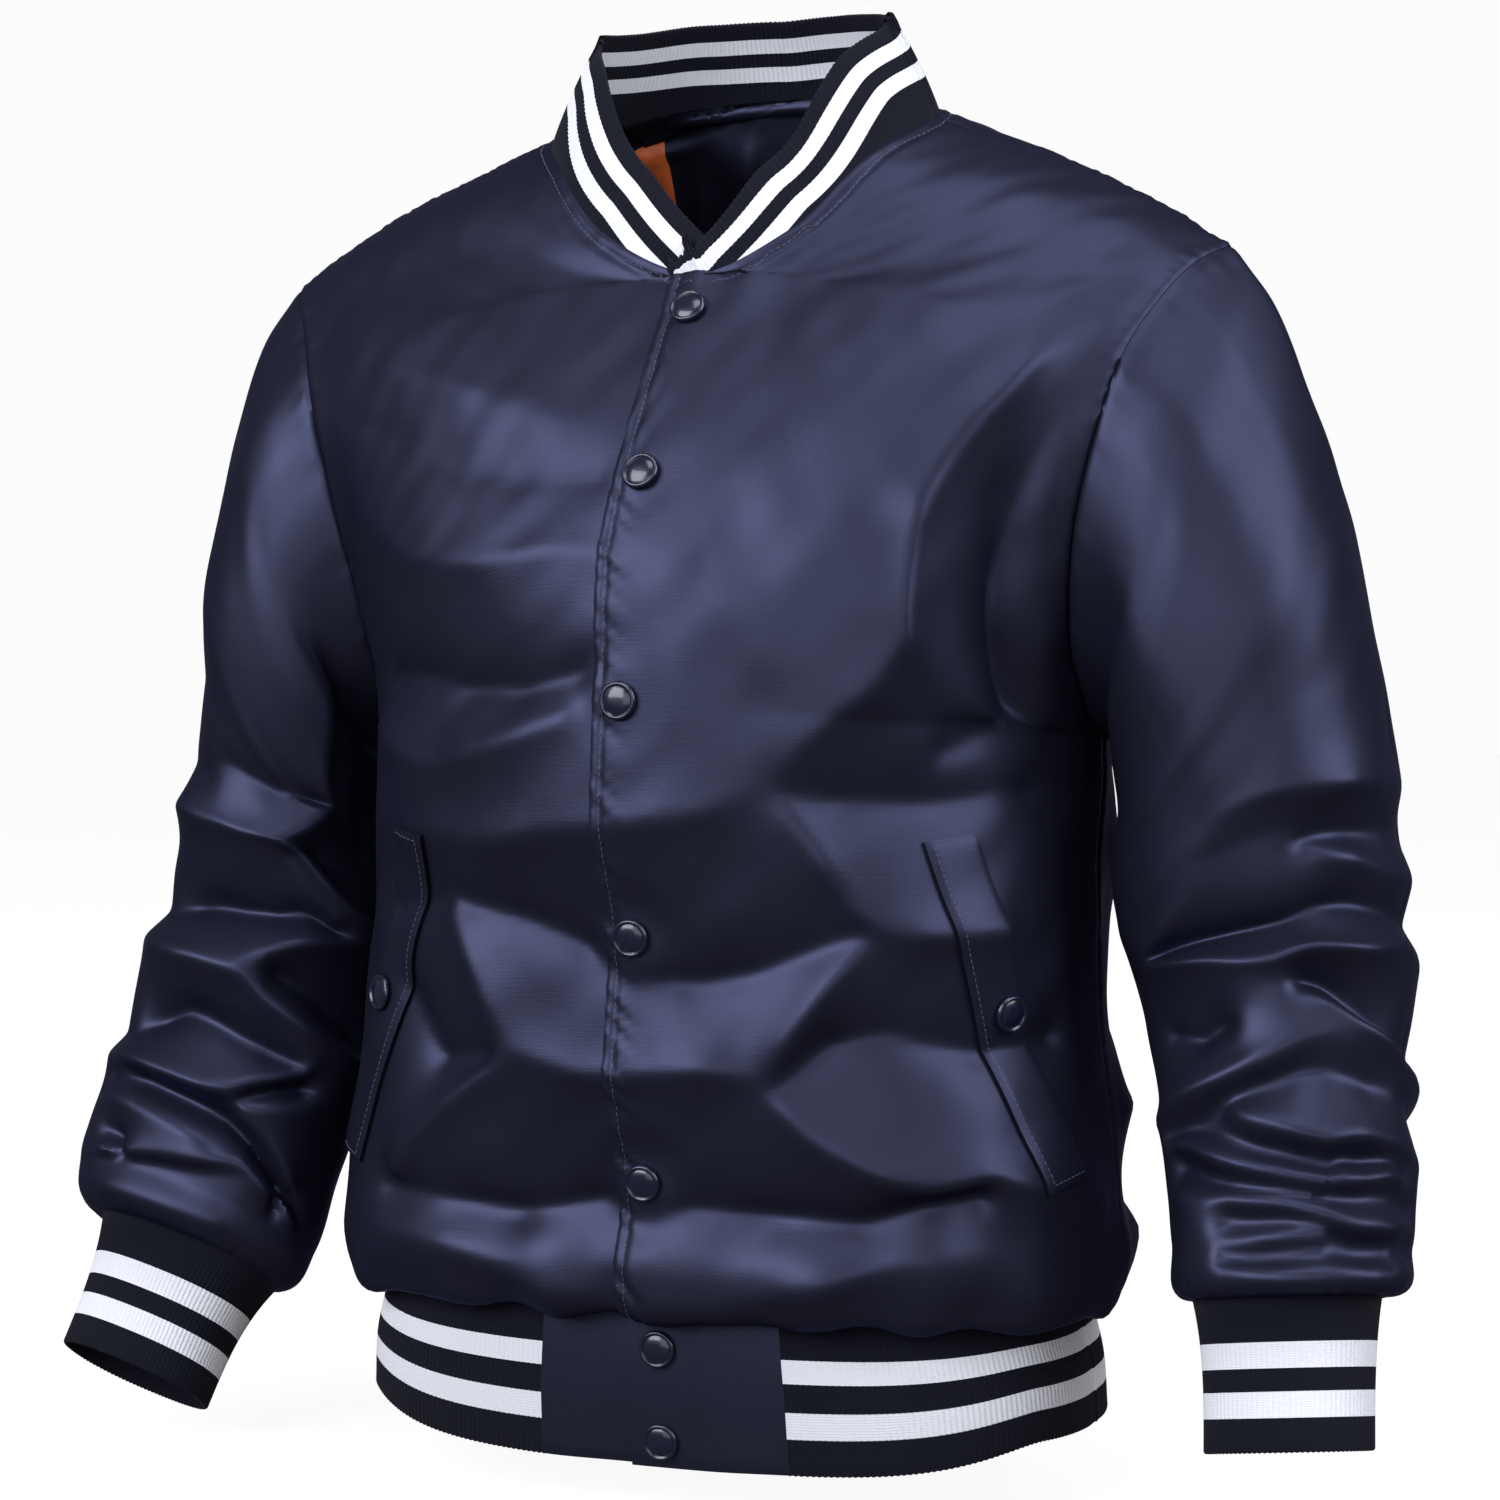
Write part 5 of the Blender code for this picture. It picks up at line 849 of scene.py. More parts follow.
def meet(front, back, half):
    """Brings the side seam and the shoulder seam of two panels together."""
    side = (front[: half.under + 1, -1] + back[: half.under + 1, -1]) / 2
    front[: half.under + 1, -1] = side
    back[: half.under + 1, -1] = side
    shoulder = (front[-1, -HALF_COLUMNS - 1 :] + back[-1]) / 2
    front[-1, -HALF_COLUMNS - 1 :] = shoulder
    back[-1] = shoulder


def placed(points, side):
    """Points of a left piece on the given side of the wearer."""
    return points * (side, 1, 1)


def welded(points, quads):
    """One list of points out of several that share some."""
    keys = {}
    place = np.array([keys.setdefault(tuple(np.round(p, 6)), len(keys)) for p in points])
    merged = np.zeros((len(keys), 3))
    merged[place] = points
    return merged, place[quads], place


# ---------------------------------------------------------------- sleeves and cuffs
def ring_ends(rings):
    """The outermost and the innermost point of each ring."""
    ends = np.array([ring[:6] for ring in rings], float)
    return ends[:, :3], ends[:, 3:]


def sleeve_ring(ring, axis, angles):
    """The section of a sleeve at angles from its outermost point round to the front."""
    outermost, innermost = (end[0] for end in ring_ends([ring]))
    middle = (outermost + innermost) / 2
    width = (outermost - innermost) / 2
    ahead = unit(np.cross(axis, width))
    ahead = ahead * -np.sign(ahead[1]) * ring.depth
    cos, sin = np.cos(angles), np.sin(angles)
    out = np.sign(cos) * np.abs(cos) ** (2.0 / SQUARENESS)
    front = np.sign(sin) * np.abs(sin) ** (2.0 / SQUARENESS)
    return middle + out[:, None] * width + front[:, None] * ahead


def ring_places(rings):
    """The distance down the arm of each ring, and of each grid row."""
    outers, inners = ring_ends(rings)
    knots = (marks_along((outers + inners) / 2) + marks_along(outers)) / 2
    return knots, grid_places(knots, [ring.cells * SLEEVE_ROWS for ring in rings])


def armhole_angles(armhole, front_cells):
    """The share of the way round at each armhole point, as an angle."""
    marks = marks_along(np.vstack([armhole, armhole[:1]]))
    under = marks[front_cells]
    first = marks[: front_cells + 1] / under * math.pi
    second = math.pi + (marks[front_cells + 1 : -1] - under) / (marks[-1] - under) * math.pi
    return np.concatenate([first, second])


def sleeve_points(rings, armhole, front_cells, where, cuff_axis):
    knots, places = ring_places(rings)
    sections = [Ring(*value, 0) for value in through(knots, [ring[:7] for ring in rings], places)]
    axes = unit(np.gradient(sum(ring_ends(sections)) / 2, axis=0))
    turn = smoothstep(places, places[-1] - CUFF_TURN, places[-1])[:, None]
    axes = unit(axes * (1.0 - turn) + np.array(cuff_axis) * turn)
    angles = armhole_angles(armhole, front_cells)
    grid = np.array([sleeve_ring(s, axis, angles) for s, axis in zip(sections, axes)])
    normals = grid_normals(grid, grid_quads(len(grid) - 1, len(angles), wrap=True))
    a, h = np.meshgrid(angles / (2 * math.pi) * SLEEVE_GIRTH, places)
    lift = Relief(where, SLEEVE_GIRTH, SLEEVE_HEIGHTS).read(a, h) + ripples(a, h)
    lift = lift * smoothstep(np.arange(len(places)), 0, 2 * SLEEVE_ROWS)[:, None]
    lift = lift * smoothstep(places[-1] - places, 0, CUFF_CALM)[:, None]
    lift = lift + seam_puff(h, a, 0.0) + seam_puff(places[-1] - h, a, 2.0)
    grid = grid + normals * lift[..., None]
    fade = 1.0 - smoothstep(places, 0.0, CAP_BLEND)
    grid = grid + (armhole - grid[0]) * fade[:, None, None]
    return grid, angles, np.stack([a, h], -1)


def cuff_points(top, end, axis, angles):
    """The rows of a cuff, from its seam to its end."""
    last = sleeve_ring(end, axis, angles)
    start_middle = top.mean(0)
    end_middle = last.mean(0)
    shares = np.linspace(0.0, 1.0, CUFF_CELLS + 1)[:, None, None]
    drawn = 1.0 - (1.0 - shares) ** CUFF_DRAW
    middles = start_middle + (end_middle - start_middle) * shares
    return middles + (top - start_middle) * (1.0 - drawn) + (last - end_middle) * drawn


# ---------------------------------------------------------------- rib bands
def hem_points(seam):
    """The rows of the hem band under the seam points."""
    rows = [seam]
    for row in HEM:
        depth = np.where(seam[:, 1] < 0, row.front, row.back)
        back = smoothstep(seam[:, 1], HEM_FRONT_Y, HEM_BACK_Y)
        height = row.z_front + (row.z_back - row.z_front) * back
        rows.append(np.stack([seam[:, 0] * row.width, seam[:, 1] * depth, height], -1))
    return np.array(rows)


def collar_points(neckline, around):
    """The rows of the collar above the neckline, which runs round to the wearer's right."""
    above, inside, ahead = through([s.around for s in COLLAR], [s[1:] for s in COLLAR], around).T
    onward = np.gradient(neckline, axis=0)
    outward = unit(np.stack([onward[:, 1], -onward[:, 0], np.zeros(len(neckline))], -1))
    frontward = unit(onward) * -np.sign(np.gradient(around))[:, None]
    rise = above[:, None] * (0, 0, 1) - inside[:, None] * outward + ahead[:, None] * frontward
    rows = []
    for share in np.linspace(0.0, 1.0, COLLAR_CELLS + 1):
        swell = 4 * share * (1 - share) * COLLAR_SWELL
        rows.append(neckline + rise * share + outward * swell)
    return np.array(rows)


# ---------------------------------------------------------------- walls
def resampled(grid, rows, columns):
    """The grid read at evenly spread rows and columns, with its own rows smoothed between."""
    places = np.linspace(0, len(grid) - 1, rows + 1)
    up = through(np.arange(len(grid)), grid.reshape(len(grid), -1), places)
    up = up.reshape(rows + 1, grid.shape[1], 3).transpose(1, 0, 2)
    marks = marks_along(up[:, 0])
    places = np.linspace(0.0, marks[-1], columns + 1)
    across = through(marks, up.reshape(len(up), -1), places)
    return across.reshape(columns + 1, rows + 1, 3).transpose(1, 0, 2)


def mated(sheets):
    """The normals that sheets share at their seams, and how each edge draws back.

    Pieces that face alike have one say between them in the shared normal.
    """
    sums = [face_sums(sheet.points, sheet.quads) for sheet in sheets]
    ways = [sheet.rim_ways() for sheet in sheets]
    meeting = {}
    for number, sheet in enumerate(sheets):
        for index in np.unique(sheet.rim()):
            meeting.setdefault(tuple(np.round(sheet.points[index], 6)), []).append((number, index))
    shifts = [np.zeros_like(sheet.points) for sheet in sheets]
    for group in meeting.values():
        if len(group) > 1:
            own = np.array([unit(sums[n][i]) for n, i in group])
            alike = (np.maximum(own @ own.T, 0.0) ** 2).sum(1, keepdims=True)
            normal = unit((own / alike).sum(0))
            for n, i in group:
                away = np.cross(unit(sums[n][i]), ways[n][i])
                shifts[n][i] = unit(away - normal * (away @ normal)) * GAP / 2
                sums[n][i] = normal
    return [unit(total) for total in sums], shifts


def add_piece(name, node, points, faces, finish, cloth=None, girth=None):
    """Adds a mesh. cloth gives each point its place on the cloth in metres, for the weave."""
    mesh = bpy.data.meshes.new(name)
    mesh.from_pydata(np.asarray(points).tolist(), [], [list(map(int, face)) for face in faces])
    mesh.shade_smooth()
    mesh.set_sharp_from_angle(angle=SHARP_ANGLE)
    if cloth is not None:
        corners = np.zeros(len(mesh.loops), int)
        mesh.loops.foreach_get("vertex_index", corners)
        spots = cloth[corners]
        if girth:
            mend_wrap(spots, mesh, girth)
        layer = mesh.uv_layers.new(name=CLOTH_MAP)
        layer.data.foreach_set("uv", spots.ravel())
    mesh.materials.append(MATERIALS[finish])
    made = bpy.data.objects.new(name, mesh)
    bpy.context.scene.collection.objects.link(made)
    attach(made, "root")
    if node:
        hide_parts(node)


def add_wall(sheet, node, finish, normals, shift=0.0, folds=0.0):
    """Adds a sheet as a closed wall, its inside lifted by folds, and gives back its form."""
    outer = sheet.points + shift
    inner = outer - normals * (sheet.thickness + np.reshape(folds, (-1, 1)))
    count = len(outer)
    rim = sheet.rim()
    sides = np.stack([rim[:, 1], rim[:, 0], rim[:, 0] + count, rim[:, 1] + count], 1)
    points = np.vstack([outer, inner])
    faces = np.vstack([sheet.quads, sheet.quads[:, ::-1] + count, sides])
    cloth = np.vstack([sheet.cloth, sheet.cloth])
    add_piece(sheet.name + "_cloth", node, points, faces, finish, cloth, sheet.girth)
    return points, faces


def mend_wrap(spots, mesh, girth):
    """Keeps the faces that close a tube from reading the cloth backwards."""
    starts = np.zeros(len(mesh.polygons), int)
    mesh.polygons.foreach_get("loop_start", starts)
    faces = np.repeat(np.arange(len(starts)), np.diff(np.append(starts, len(spots))))
    highest = np.maximum.reduceat(spots[:, 0], starts)[faces]
    spots[:, 0] += girth * (highest - spots[:, 0] > girth / 2)


# ---------------------------------------------------------------- knitted bands
def band(name, node, grid, finish, thickness, ribbed, wrap=False, from_edge=False):
    """Adds a folded band from its seam (row 0) to its free edge, as one closed piece."""
    closed = np.concatenate([grid, grid[:, :1]], axis=1) if wrap else grid
    around = length(closed[0])
    columns = round(around / RIB_PITCH) * RIB_CELLS
    fine = resampled(closed, BAND_ROWS, columns)
    if wrap:
        fine[:, -1] = fine[:, 0]
    normals = grid_normals(fine, grid_quads(BAND_ROWS, columns))
    if wrap:
        normals[:, 0] = unit(normals[:, 0] + normals[:, -1])
        normals[:, -1] = normals[:, 0]
    sense = 1.0 if ((fine - fine.reshape(-1, 3).mean(0)) * normals).sum() > 0 else -1.0
    normals = normals * sense
    turns = np.arange(columns + 1) / RIB_CELLS * 2 * math.pi
    sunk = (np.cos(turns) - 1.0) / 2 * RIB_RISE * ribbed
    half = thickness / 2 + sunk * smoothstep(np.arange(BAND_ROWS + 1), 0, 2)[:, None]
    middle = fine - normals * thickness / 2
    down = unit(middle[-1] - middle[-2])
    layers = [middle + normals * half[..., None]]
    for turn in np.linspace(0, math.pi, FOLD_STEPS + 2)[1:-1]:
        way = normals[-1] * math.cos(turn) + down * math.sin(turn)
        layers.append((middle[-1] + way * half[-1][:, None])[None])
    layers.append((middle - normals * half[..., None])[::-1])
    points = np.concatenate(layers)
    if from_edge:
        away = edge_distance(fine) / COLLAR_BAND
        across = np.concatenate([away, np.zeros((FOLD_STEPS, columns + 1)), away[::-1]])
    else:
        share = np.linspace(0, 1, BAND_ROWS + 1)
        across = np.concatenate([share, np.ones(FOLD_STEPS), share[::-1]])[:, None]
    run = np.arange(columns + 1) * around / columns
    cloth = np.stack(np.broadcast_arrays(run, across + 0 * run), -1)
    width = columns + 1
    if wrap:
        width = columns
        points, cloth = points[:, :-1], cloth[:, :-1]
    last = (len(points) - 1) * width
    here = np.arange(columns)
    after = (here + 1) % width
    seam = np.stack([after, here, last + here, last + after], 1)
    faces = facing(np.vstack([grid_quads(len(points) - 1, columns, wrap), seam]), sense).tolist()
    if not wrap:
        end = np.arange(len(points)) * width
        faces += [end[:: -int(sense)].tolist(), (end + columns)[:: int(sense)].tolist()]
    girth = around if wrap else None
    add_piece(name, node, points.reshape(-1, 3), faces, finish, cloth.reshape(-1, 2), girth)


def edge_distance(grid):
    """How far each point of a band is from its free edge, the grid's last row."""
    columns = np.arange(grid.shape[1])
    down = np.full(grid.shape[:2], np.inf)
    for step in range(-EDGE_SEARCH, EDGE_SEARCH + 1, EDGE_STRIDE):
        near = grid[-1][np.clip(columns + step, 0, columns[-1])]
        down = np.minimum(down, np.linalg.norm(grid - near, axis=2))
    return down


# ---------------------------------------------------------------- stitches
def tube(rings, sides):
    """The faces of a tube of rings, closed at both ends."""
    last = (rings - 1) * sides
    faces = grid_quads(rings - 1, sides, wrap=True).tolist()
    return faces + [list(range(sides))[::-1], list(range(last, last + sides))]


def add_stitches(name, lines):
    """Adds rows of stitches. Each line is its points and the normals there."""
    turns = np.arange(STITCH_SIDES) * 2 * math.pi / STITCH_SIDES
    shape = np.array([
        (place * STITCH_LENGTH, size * math.cos(turn) * THREAD, (size * math.sin(turn) + sink) * THREAD)
        for place, size, sink in STITCH_RINGS for turn in turns
    ])
    shape_faces = tube(len(STITCH_RINGS), STITCH_SIDES)
    points = []
    faces = []
    for line, normals in lines:
        whole = length(line)
        count = max(int(whole / STITCH_PITCH), 1)
        places = (np.arange(count) + 0.5) * whole / count
        ups = unit(along(line, places, normals))
        ahead = along(line, places + STITCH_LENGTH / 2) - along(line, places - STITCH_LENGTH / 2)
        ahead = unit(ahead - (ahead * ups).sum(-1, keepdims=True) * ups)
        axes = np.stack([ahead, np.cross(ups, ahead), ups], 1)
        for middle, axis in zip(along(line, places), axes):
            start = len(points) * len(shape)
            points.append(middle + shape @ axis)
            faces += [[start + corner for corner in face] for face in shape_faces]
    add_piece(name, None, np.concatenate(points), faces, "thread")


# ---------------------------------------------------------------- pieces on the panels
class Surface:
    """A grid of points that can be read between its rows and columns."""

    def __init__(self, points, outward=1.0):
        self.points = points
        self.outward = outward
        rows, columns = points.shape[:2]
        self.normals = grid_normals(points, grid_quads(rows - 1, columns - 1)) * outward

    def at(self, row, column):
        return between(self.points, row, column)

    def normal(self, row, column):
        return unit(between(self.normals, row, column))

    def seat(self, row, column, radius):
        """Where a disc of this radius rests: its middle and its axis."""
        turns = np.linspace(0, 2 * math.pi, 24, endpoint=False)
        step_across = np.linalg.norm(self.at(row, column + 1) - self.at(row, column - 1)) / 2
        step_up = np.linalg.norm(self.at(row + 1, column) - self.at(row - 1, column)) / 2
        rows = row + np.sin(turns) * radius / step_up
        columns = column + np.cos(turns) * radius / step_across
        normal = unit(self.normal(rows, columns).mean(0))
        middle = self.at(row, column)
        highest = max(((self.at(rows, columns) - middle) @ normal).max(), 0.0)
        return middle + normal * (highest + GAP), normal


def add_snap(node, middle, normal):
    turns = np.arange(SNAP_SIDES) * 2 * math.pi / SNAP_SIDES
    rings = [(r * math.cos(turn), r * math.sin(turn), z) for r, z in SNAP_PROFILE for turn in turns]
    turn = np.array(Vector(normal).to_track_quat("Z", "Y").to_matrix())
    faces = tube(len(SNAP_PROFILE), SNAP_SIDES)
    add_piece(node + "_cap", node, np.array(rings) @ turn.T + middle, faces, "snap")


def welt_places(half, shift):
    """The rows and columns of the front under each point of a welt."""
    up = np.linspace(0.0, 1.0, WELT_ROWS + 1)[:, None]
    across = np.linspace(0.0, 1.0, WELT_COLUMNS + 1)[None, :]
    spots = []
    for foot_in, foot_out, top_in, top_out in zip(*WELT_CORNERS):
        foot = foot_in + (foot_out - foot_in) * across
        top = top_in + (top_out - top_in) * across
        spots.append(foot * (1 - up) + top * up)
    rows = np.interp(spots[1], half.heights, np.arange(half.rows + 1))
    return rows, half.strip + (spots[0] + shift) / TORSO_WIDTH * HALF_COLUMNS


def lie_on(name, node, grid, outward, finish, thickness, sag):
    """Adds a piece that lies on another, its edges rolled down by sag."""
    surface = Surface(grid, outward)
    rows, columns = (np.arange(count) for count in grid.shape[:2])
    up = np.linalg.norm(np.diff(grid[:, 0], axis=0), axis=-1).mean()
    across = np.linalg.norm(np.diff(grid[0], axis=0), axis=-1).mean()
    away = np.minimum(np.minimum(rows, rows[::-1])[:, None] * up, np.minimum(columns, columns[::-1]) * across)
    points = grid - surface.normals * (sag * bell(away, WELT_ROLL))[..., None]
    quads = facing(grid_quads(rows[-1], columns[-1]), outward)
    cloth = np.stack(np.meshgrid(columns * across, rows * up), -1)
    sheet = Sheet(name, points, quads, cloth, thickness=thickness)
    add_wall(sheet, node, finish, unit(face_sums(sheet.points, sheet.quads)))
    return points, surface


# ---------------------------------------------------------------- materials
class Finish:
    """A procedural material with one Principled shader."""

    def __init__(self, name, colour, roughness, **sockets):
        self.made = bpy.data.materials.new(name)
        self.made.use_nodes = True
        self.tree = self.made.node_tree
        self.shader = self.tree.nodes["Principled BSDF"]
        self.shader.inputs["Base Color"].default_value = (*colour, 1.0)
        self.shader.inputs["Roughness"].default_value = roughness
        for socket, value in sockets.items():
            self.shader.inputs[socket.replace("_", " ")].default_value = value

    def node(self, kind, settings=(), values=(), **links):
        made = self.tree.nodes.new("ShaderNode" + kind)
        for name, value in dict(settings).items():
            setattr(made, name, value)
        for name, value in dict(values).items():
            made.inputs[name].default_value = value
        for name, source in links.items():
            self.tree.links.new(source, made.inputs[name])
        return made

    def link(self, source, target):
        self.tree.links.new(source, self.shader.inputs[target])

    def patches(self, size, low, high):
        """The base colour between two colours, in patches of this size in metres."""
        source = self.noise(self.space(size), 3.0)
        self.link(self.ramp(source, ((0.3, low), (0.7, high))), "Base Color")

    def cloth(self, across, down):
        """The place on the cloth, counted in cells of these sizes in metres."""
        place = self.node("UVMap", {"uv_map": CLOTH_MAP}).outputs["UV"]
        return self.scaled(place, (1 / across, 1 / down, 1.0))

    def space(self, size):
        """The place in the room, counted in cells of this size in metres."""
        return self.scaled(self.node("TexCoord").outputs["Object"], (1 / size,) * 3)

    def scaled(self, place, scale):
        return self.node("Mapping", values={"Scale": scale}, Vector=place).outputs["Vector"]

    def noise(self, vector, detail=2.0):
        values = {"Scale": 1.0, "Detail": detail}
        return self.node("TexNoise", values=values, Vector=vector).outputs["Fac"]

    def ramp(self, source, stops, constant=False):
        made = self.node("ValToRGB", Fac=source)
        made.color_ramp.interpolation = "CONSTANT" if constant else "LINEAR"
        elements = made.color_ramp.elements
        while len(elements) < len(stops):
            elements.new(0.5)
        for element, (place, value) in zip(elements, stops):
            element.position = place
            element.color = (*value, 1.0)
        return made.outputs["Color"]

    def spread(self, source, low, high):
        made = self.node("MapRange", values={"To Min": low, "To Max": high}, Value=source)
        return made.outputs["Result"]

    def bumps(self, *layers):
        """Stacks bumps, each a source, a strength and a depth in metres."""
        normal = None
        for source, strength, depth in layers:
            made = self.node("Bump", values={"Strength": strength, "Distance": depth}, Height=source)
            if normal:
                self.tree.links.new(normal, made.inputs["Normal"])
            normal = made.outputs["Normal"]
        self.link(normal, "Normal")


NAVY = (0.0228, 0.0243, 0.0430)
NAVY_FADED = (0.0268, 0.0286, 0.0505)
RIB_NAVY = (0.0035, 0.0040, 0.0085)
WHITE = (0.62, 0.62, 0.64)
ORANGE_DEEP = (0.70, 0.12, 0.02)
ORANGE_BRIGHT = (0.95, 0.22, 0.04)


def satin_material():
    finish = Finish(
        "satin", NAVY, 0.43, Metallic=0.75,
        Specular_IOR_Level=0.3, Specular_Tint=(0.30, 0.34, 0.60, 1.0),
    )
    finish.patches(0.06, NAVY, NAVY_FADED)
    finish.link(finish.spread(finish.noise(finish.space(0.025), 4.0), 0.40, 0.46), "Roughness")
    slubs = finish.noise(finish.cloth(0.0150, 0.0009), 3.0)
    weave = finish.noise(finish.cloth(0.0009, 0.0009), 1.0)
    crumple = finish.noise(finish.space(0.012), 3.0)
    finish.bumps((crumple, 0.12, 0.0006), (slubs, 0.25, 0.00020), (weave, 0.20, 0.00012))
    return finish.made


def rib_material(name, stripes):
    finish = Finish(name, RIB_NAVY, 0.9, Sheen_Weight=0.04, Sheen_Roughness=0.5, Specular_IOR_Level=0.12)
    across = finish.node("SeparateXYZ", Vector=finish.cloth(1.0, 1.0)).outputs["Y"]
    colours = (RIB_NAVY, WHITE, RIB_NAVY, WHITE, RIB_NAVY)
    finish.link(finish.ramp(across, list(zip((0.0, *stripes), colours)), constant=True), "Base Color")
    loops = finish.node(
        "TexWave", {"bands_direction": "Y"}, {"Scale": 5.0, "Distortion": 1.5, "Detail": 1.0},
        Vector=finish.cloth(0.010, 0.25),
    ).outputs["Fac"]
    fuzz = finish.noise(finish.space(0.0006), 2.0)
    finish.bumps((loops, 0.3, 0.0003), (fuzz, 0.3, 0.0002))
    return finish.made


def snap_material():
    finish = Finish(
        "snap", (0.004, 0.0055, 0.018), 0.26,
        Coat_Weight=0.35, Coat_Roughness=0.05, Specular_IOR_Level=0.4,
    )
    finish.link(finish.spread(finish.noise(finish.space(0.002), 4.0), 0.20, 0.32), "Roughness")
    return finish.made


def lining_material():
    finish = Finish("lining", ORANGE_DEEP, 0.45, Sheen_Weight=0.2)
    finish.patches(0.01, ORANGE_DEEP, ORANGE_BRIGHT)
    finish.bumps((finish.noise(finish.space(0.008), 3.0), 0.4, 0.0015))
    return finish.made


def thread_material():
    finish = Finish("thread", (0.035, 0.040, 0.080), 0.5, Sheen_Weight=0.3)
    finish.bumps((finish.noise(finish.space(0.0004), 1.0), 0.3, 0.0001))
    return finish.made


# Where the two white stripes of a band start and end, as shares of its height: of the hem
# and the cuffs from their seam, of the collar from its edge.
HEM_STRIPES = (0.316, 0.478, 0.665, 0.816)
CUFF_STRIPES = (0.292, 0.461, 0.617, 0.786)
COLLAR_STRIPES = (0.185, 0.370, 0.540, 0.730)
MATERIALS = {
    "satin": satin_material(),
    "rib_hem": rib_material("rib_hem", HEM_STRIPES),
    "rib_cuff": rib_material("rib_cuff", CUFF_STRIPES),
    "rib_collar": rib_material("rib_collar", COLLAR_STRIPES),
    "snap": snap_material(),
    "lining": lining_material(),
    "thread": thread_material(),
}


# ---------------------------------------------------------------- the whole jacket
def torso_panels(front_half, back_half):
    """The outer points of the fronts and of the halves of the back, by their side."""
    relief = Relief("torso", TORSO_GIRTH, TORSO_HEIGHTS)
    fronts = {}
    backs = {}
    for name, side in SIDES:
        front = front_points(front_half, side, relief)
        back = back_points(back_half, side, relief)
        meet(front, back, front_half)
        fronts[name] = swayed(placed(front, side))
        backs[name] = swayed(placed(back, side))
    seam = slice(back_half.neck + 1)
    middle = (backs["left"][seam, 0] + backs["right"][seam, 0]) / 2
    for back in backs.values():
        back[seam, 0] = middle
    return fronts, backs


def panel_cloth(half):
    """The place on the cloth of each point of a half panel."""
    heights = np.broadcast_to(half.heights[:, None], half.around.shape)
    return np.stack([half.around * TORSO_WIDTH, heights], -1)


def back_sheet(half, backs):
    points = np.vstack([back.reshape(-1, 3) for back in backs.values()])
    quads = half.quads()
    quads = np.vstack([facing(quads, -1), quads + len(points) // 2])
    points, quads, place = welded(points, quads)
    spots = panel_cloth(half).reshape(-1, 2)
    cloth = np.zeros((len(points), 2))
    cloth[place] = np.vstack([spots, spots * (-1, 1)])
    return Sheet("back", points, quads, cloth)


def sleeve_and_cuff(name, side, front_edge, back_edge):
    """The sheet of a sleeve and the rows of its cuff, from the edges of the armhole."""
    rings, cuff_end, cuff_axis = SLEEVES[name]
    armhole = placed(np.vstack([front_edge, back_edge[1:-1]]), side)
    piece = name + "_sleeve"
    points, angles, cloth = sleeve_points(rings, armhole, len(front_edge) - 1, piece, cuff_axis)
    cuff = cuff_points(points[-1], cuff_end, np.array(cuff_axis), angles)
    quads = facing(grid_quads(len(points) - 1, len(angles), wrap=True), side)
    return Sheet(piece, placed(points, side), quads, cloth, SLEEVE_GIRTH), placed(cuff, side)


def hem_bands(fronts, backs):
    """The rows of the two hem tabs and of the rib band between them."""
    left, right = fronts["left"][0], fronts["right"][0]
    seam = np.vstack([left, backs["left"][0][-2::-1], backs["right"][0][1:], right[-2::-1]])
    hem = hem_points(seam)
    tab = STRIP_COLUMNS + TAB_COLUMNS
    far = len(seam) - 1 - tab
    return {
        "left_hem_tab": hem[:, : tab + 1], "hem_rib": hem[:, tab : far + 1], "right_hem_tab": hem[:, far:]
    }


def whole_neckline(front_half, back_half, fronts, backs):
    """The neckline round to the wearer's right, and how far round each point is."""
    halves = [
        np.vstack([front_half.neckline(fronts[name]), back_half.neckline(backs[name])[-2::-1]])
        for name, _ in SIDES
    ]
    marks = [marks_along(half) for half in halves]
    marks = [(mark - mark[STRIP_COLUMNS]) / (mark[-1] - mark[STRIP_COLUMNS]) for mark in marks]
    return np.vstack([halves[0], halves[1][-2::-1]]), np.concatenate([marks[0], marks[1][-2::-1]])


def add_sheets(sheets, neckline):
    """Adds the sheets as walls, and gives back the back panel's faces as a tree."""
    for sheet, normals, shift in zip(sheets, *mated(sheets)):
        folds = lining_folds(sheet, neckline) if sheet.name == "back" else 0.0
        made = add_wall(sheet, sheet.name, "satin", normals, shift, folds)
        if sheet.name == "back":
            back = tree_of(*made)
    return back


def add_bands(bands):
    for name, grid in bands.items():
        if "tab" in name:
            band(name + "_cloth", name, grid, "satin", CLOTH, 0.0)
        elif "cuff" in name:
            band(name + "_knit", name, grid, "rib_cuff", RIB, 1.0, wrap=True)
        elif name == "collar":
            band(name + "_knit", name, grid, "rib_collar", RIB, 1.0, from_edge=True)
        else:
            band(name + "_knit", name, grid, "rib_hem", RIB, 1.0)


def add_welt(name, side, half, front):
    """Adds a pocket welt with its snap and its rows of stitches."""
    surface = Surface(front, side)
    rows, columns = welt_places(half, WELT_SHIFT[name])
    grid = surface.at(rows, columns) + surface.normal(rows, columns) * (WELT_LIFT + CLOTH)
    piece = name + "_pocket_welt"
    points, welt = lie_on(piece, piece, grid, side, "satin", CLOTH, WELT_SAG)
    seat = welt.seat(WELT_SNAP_UP * WELT_ROWS, WELT_SNAP_ACROSS * WELT_COLUMNS, SNAP_RADIUS)
    add_snap(name + "_pocket_snap", *seat)
    inner = WELT_STITCH_COLUMN
    lines = (np.s_[1:-1, inner], np.s_[1, inner:-1], np.s_[-2, inner:-1])
    add_stitches(name + "_welt_stitches", [(points[line], welt.normals[line]) for line in lines])


def tree_of(points, faces):
    return BVHTree.FromPolygons([Vector(point) for point in points], faces.tolist())


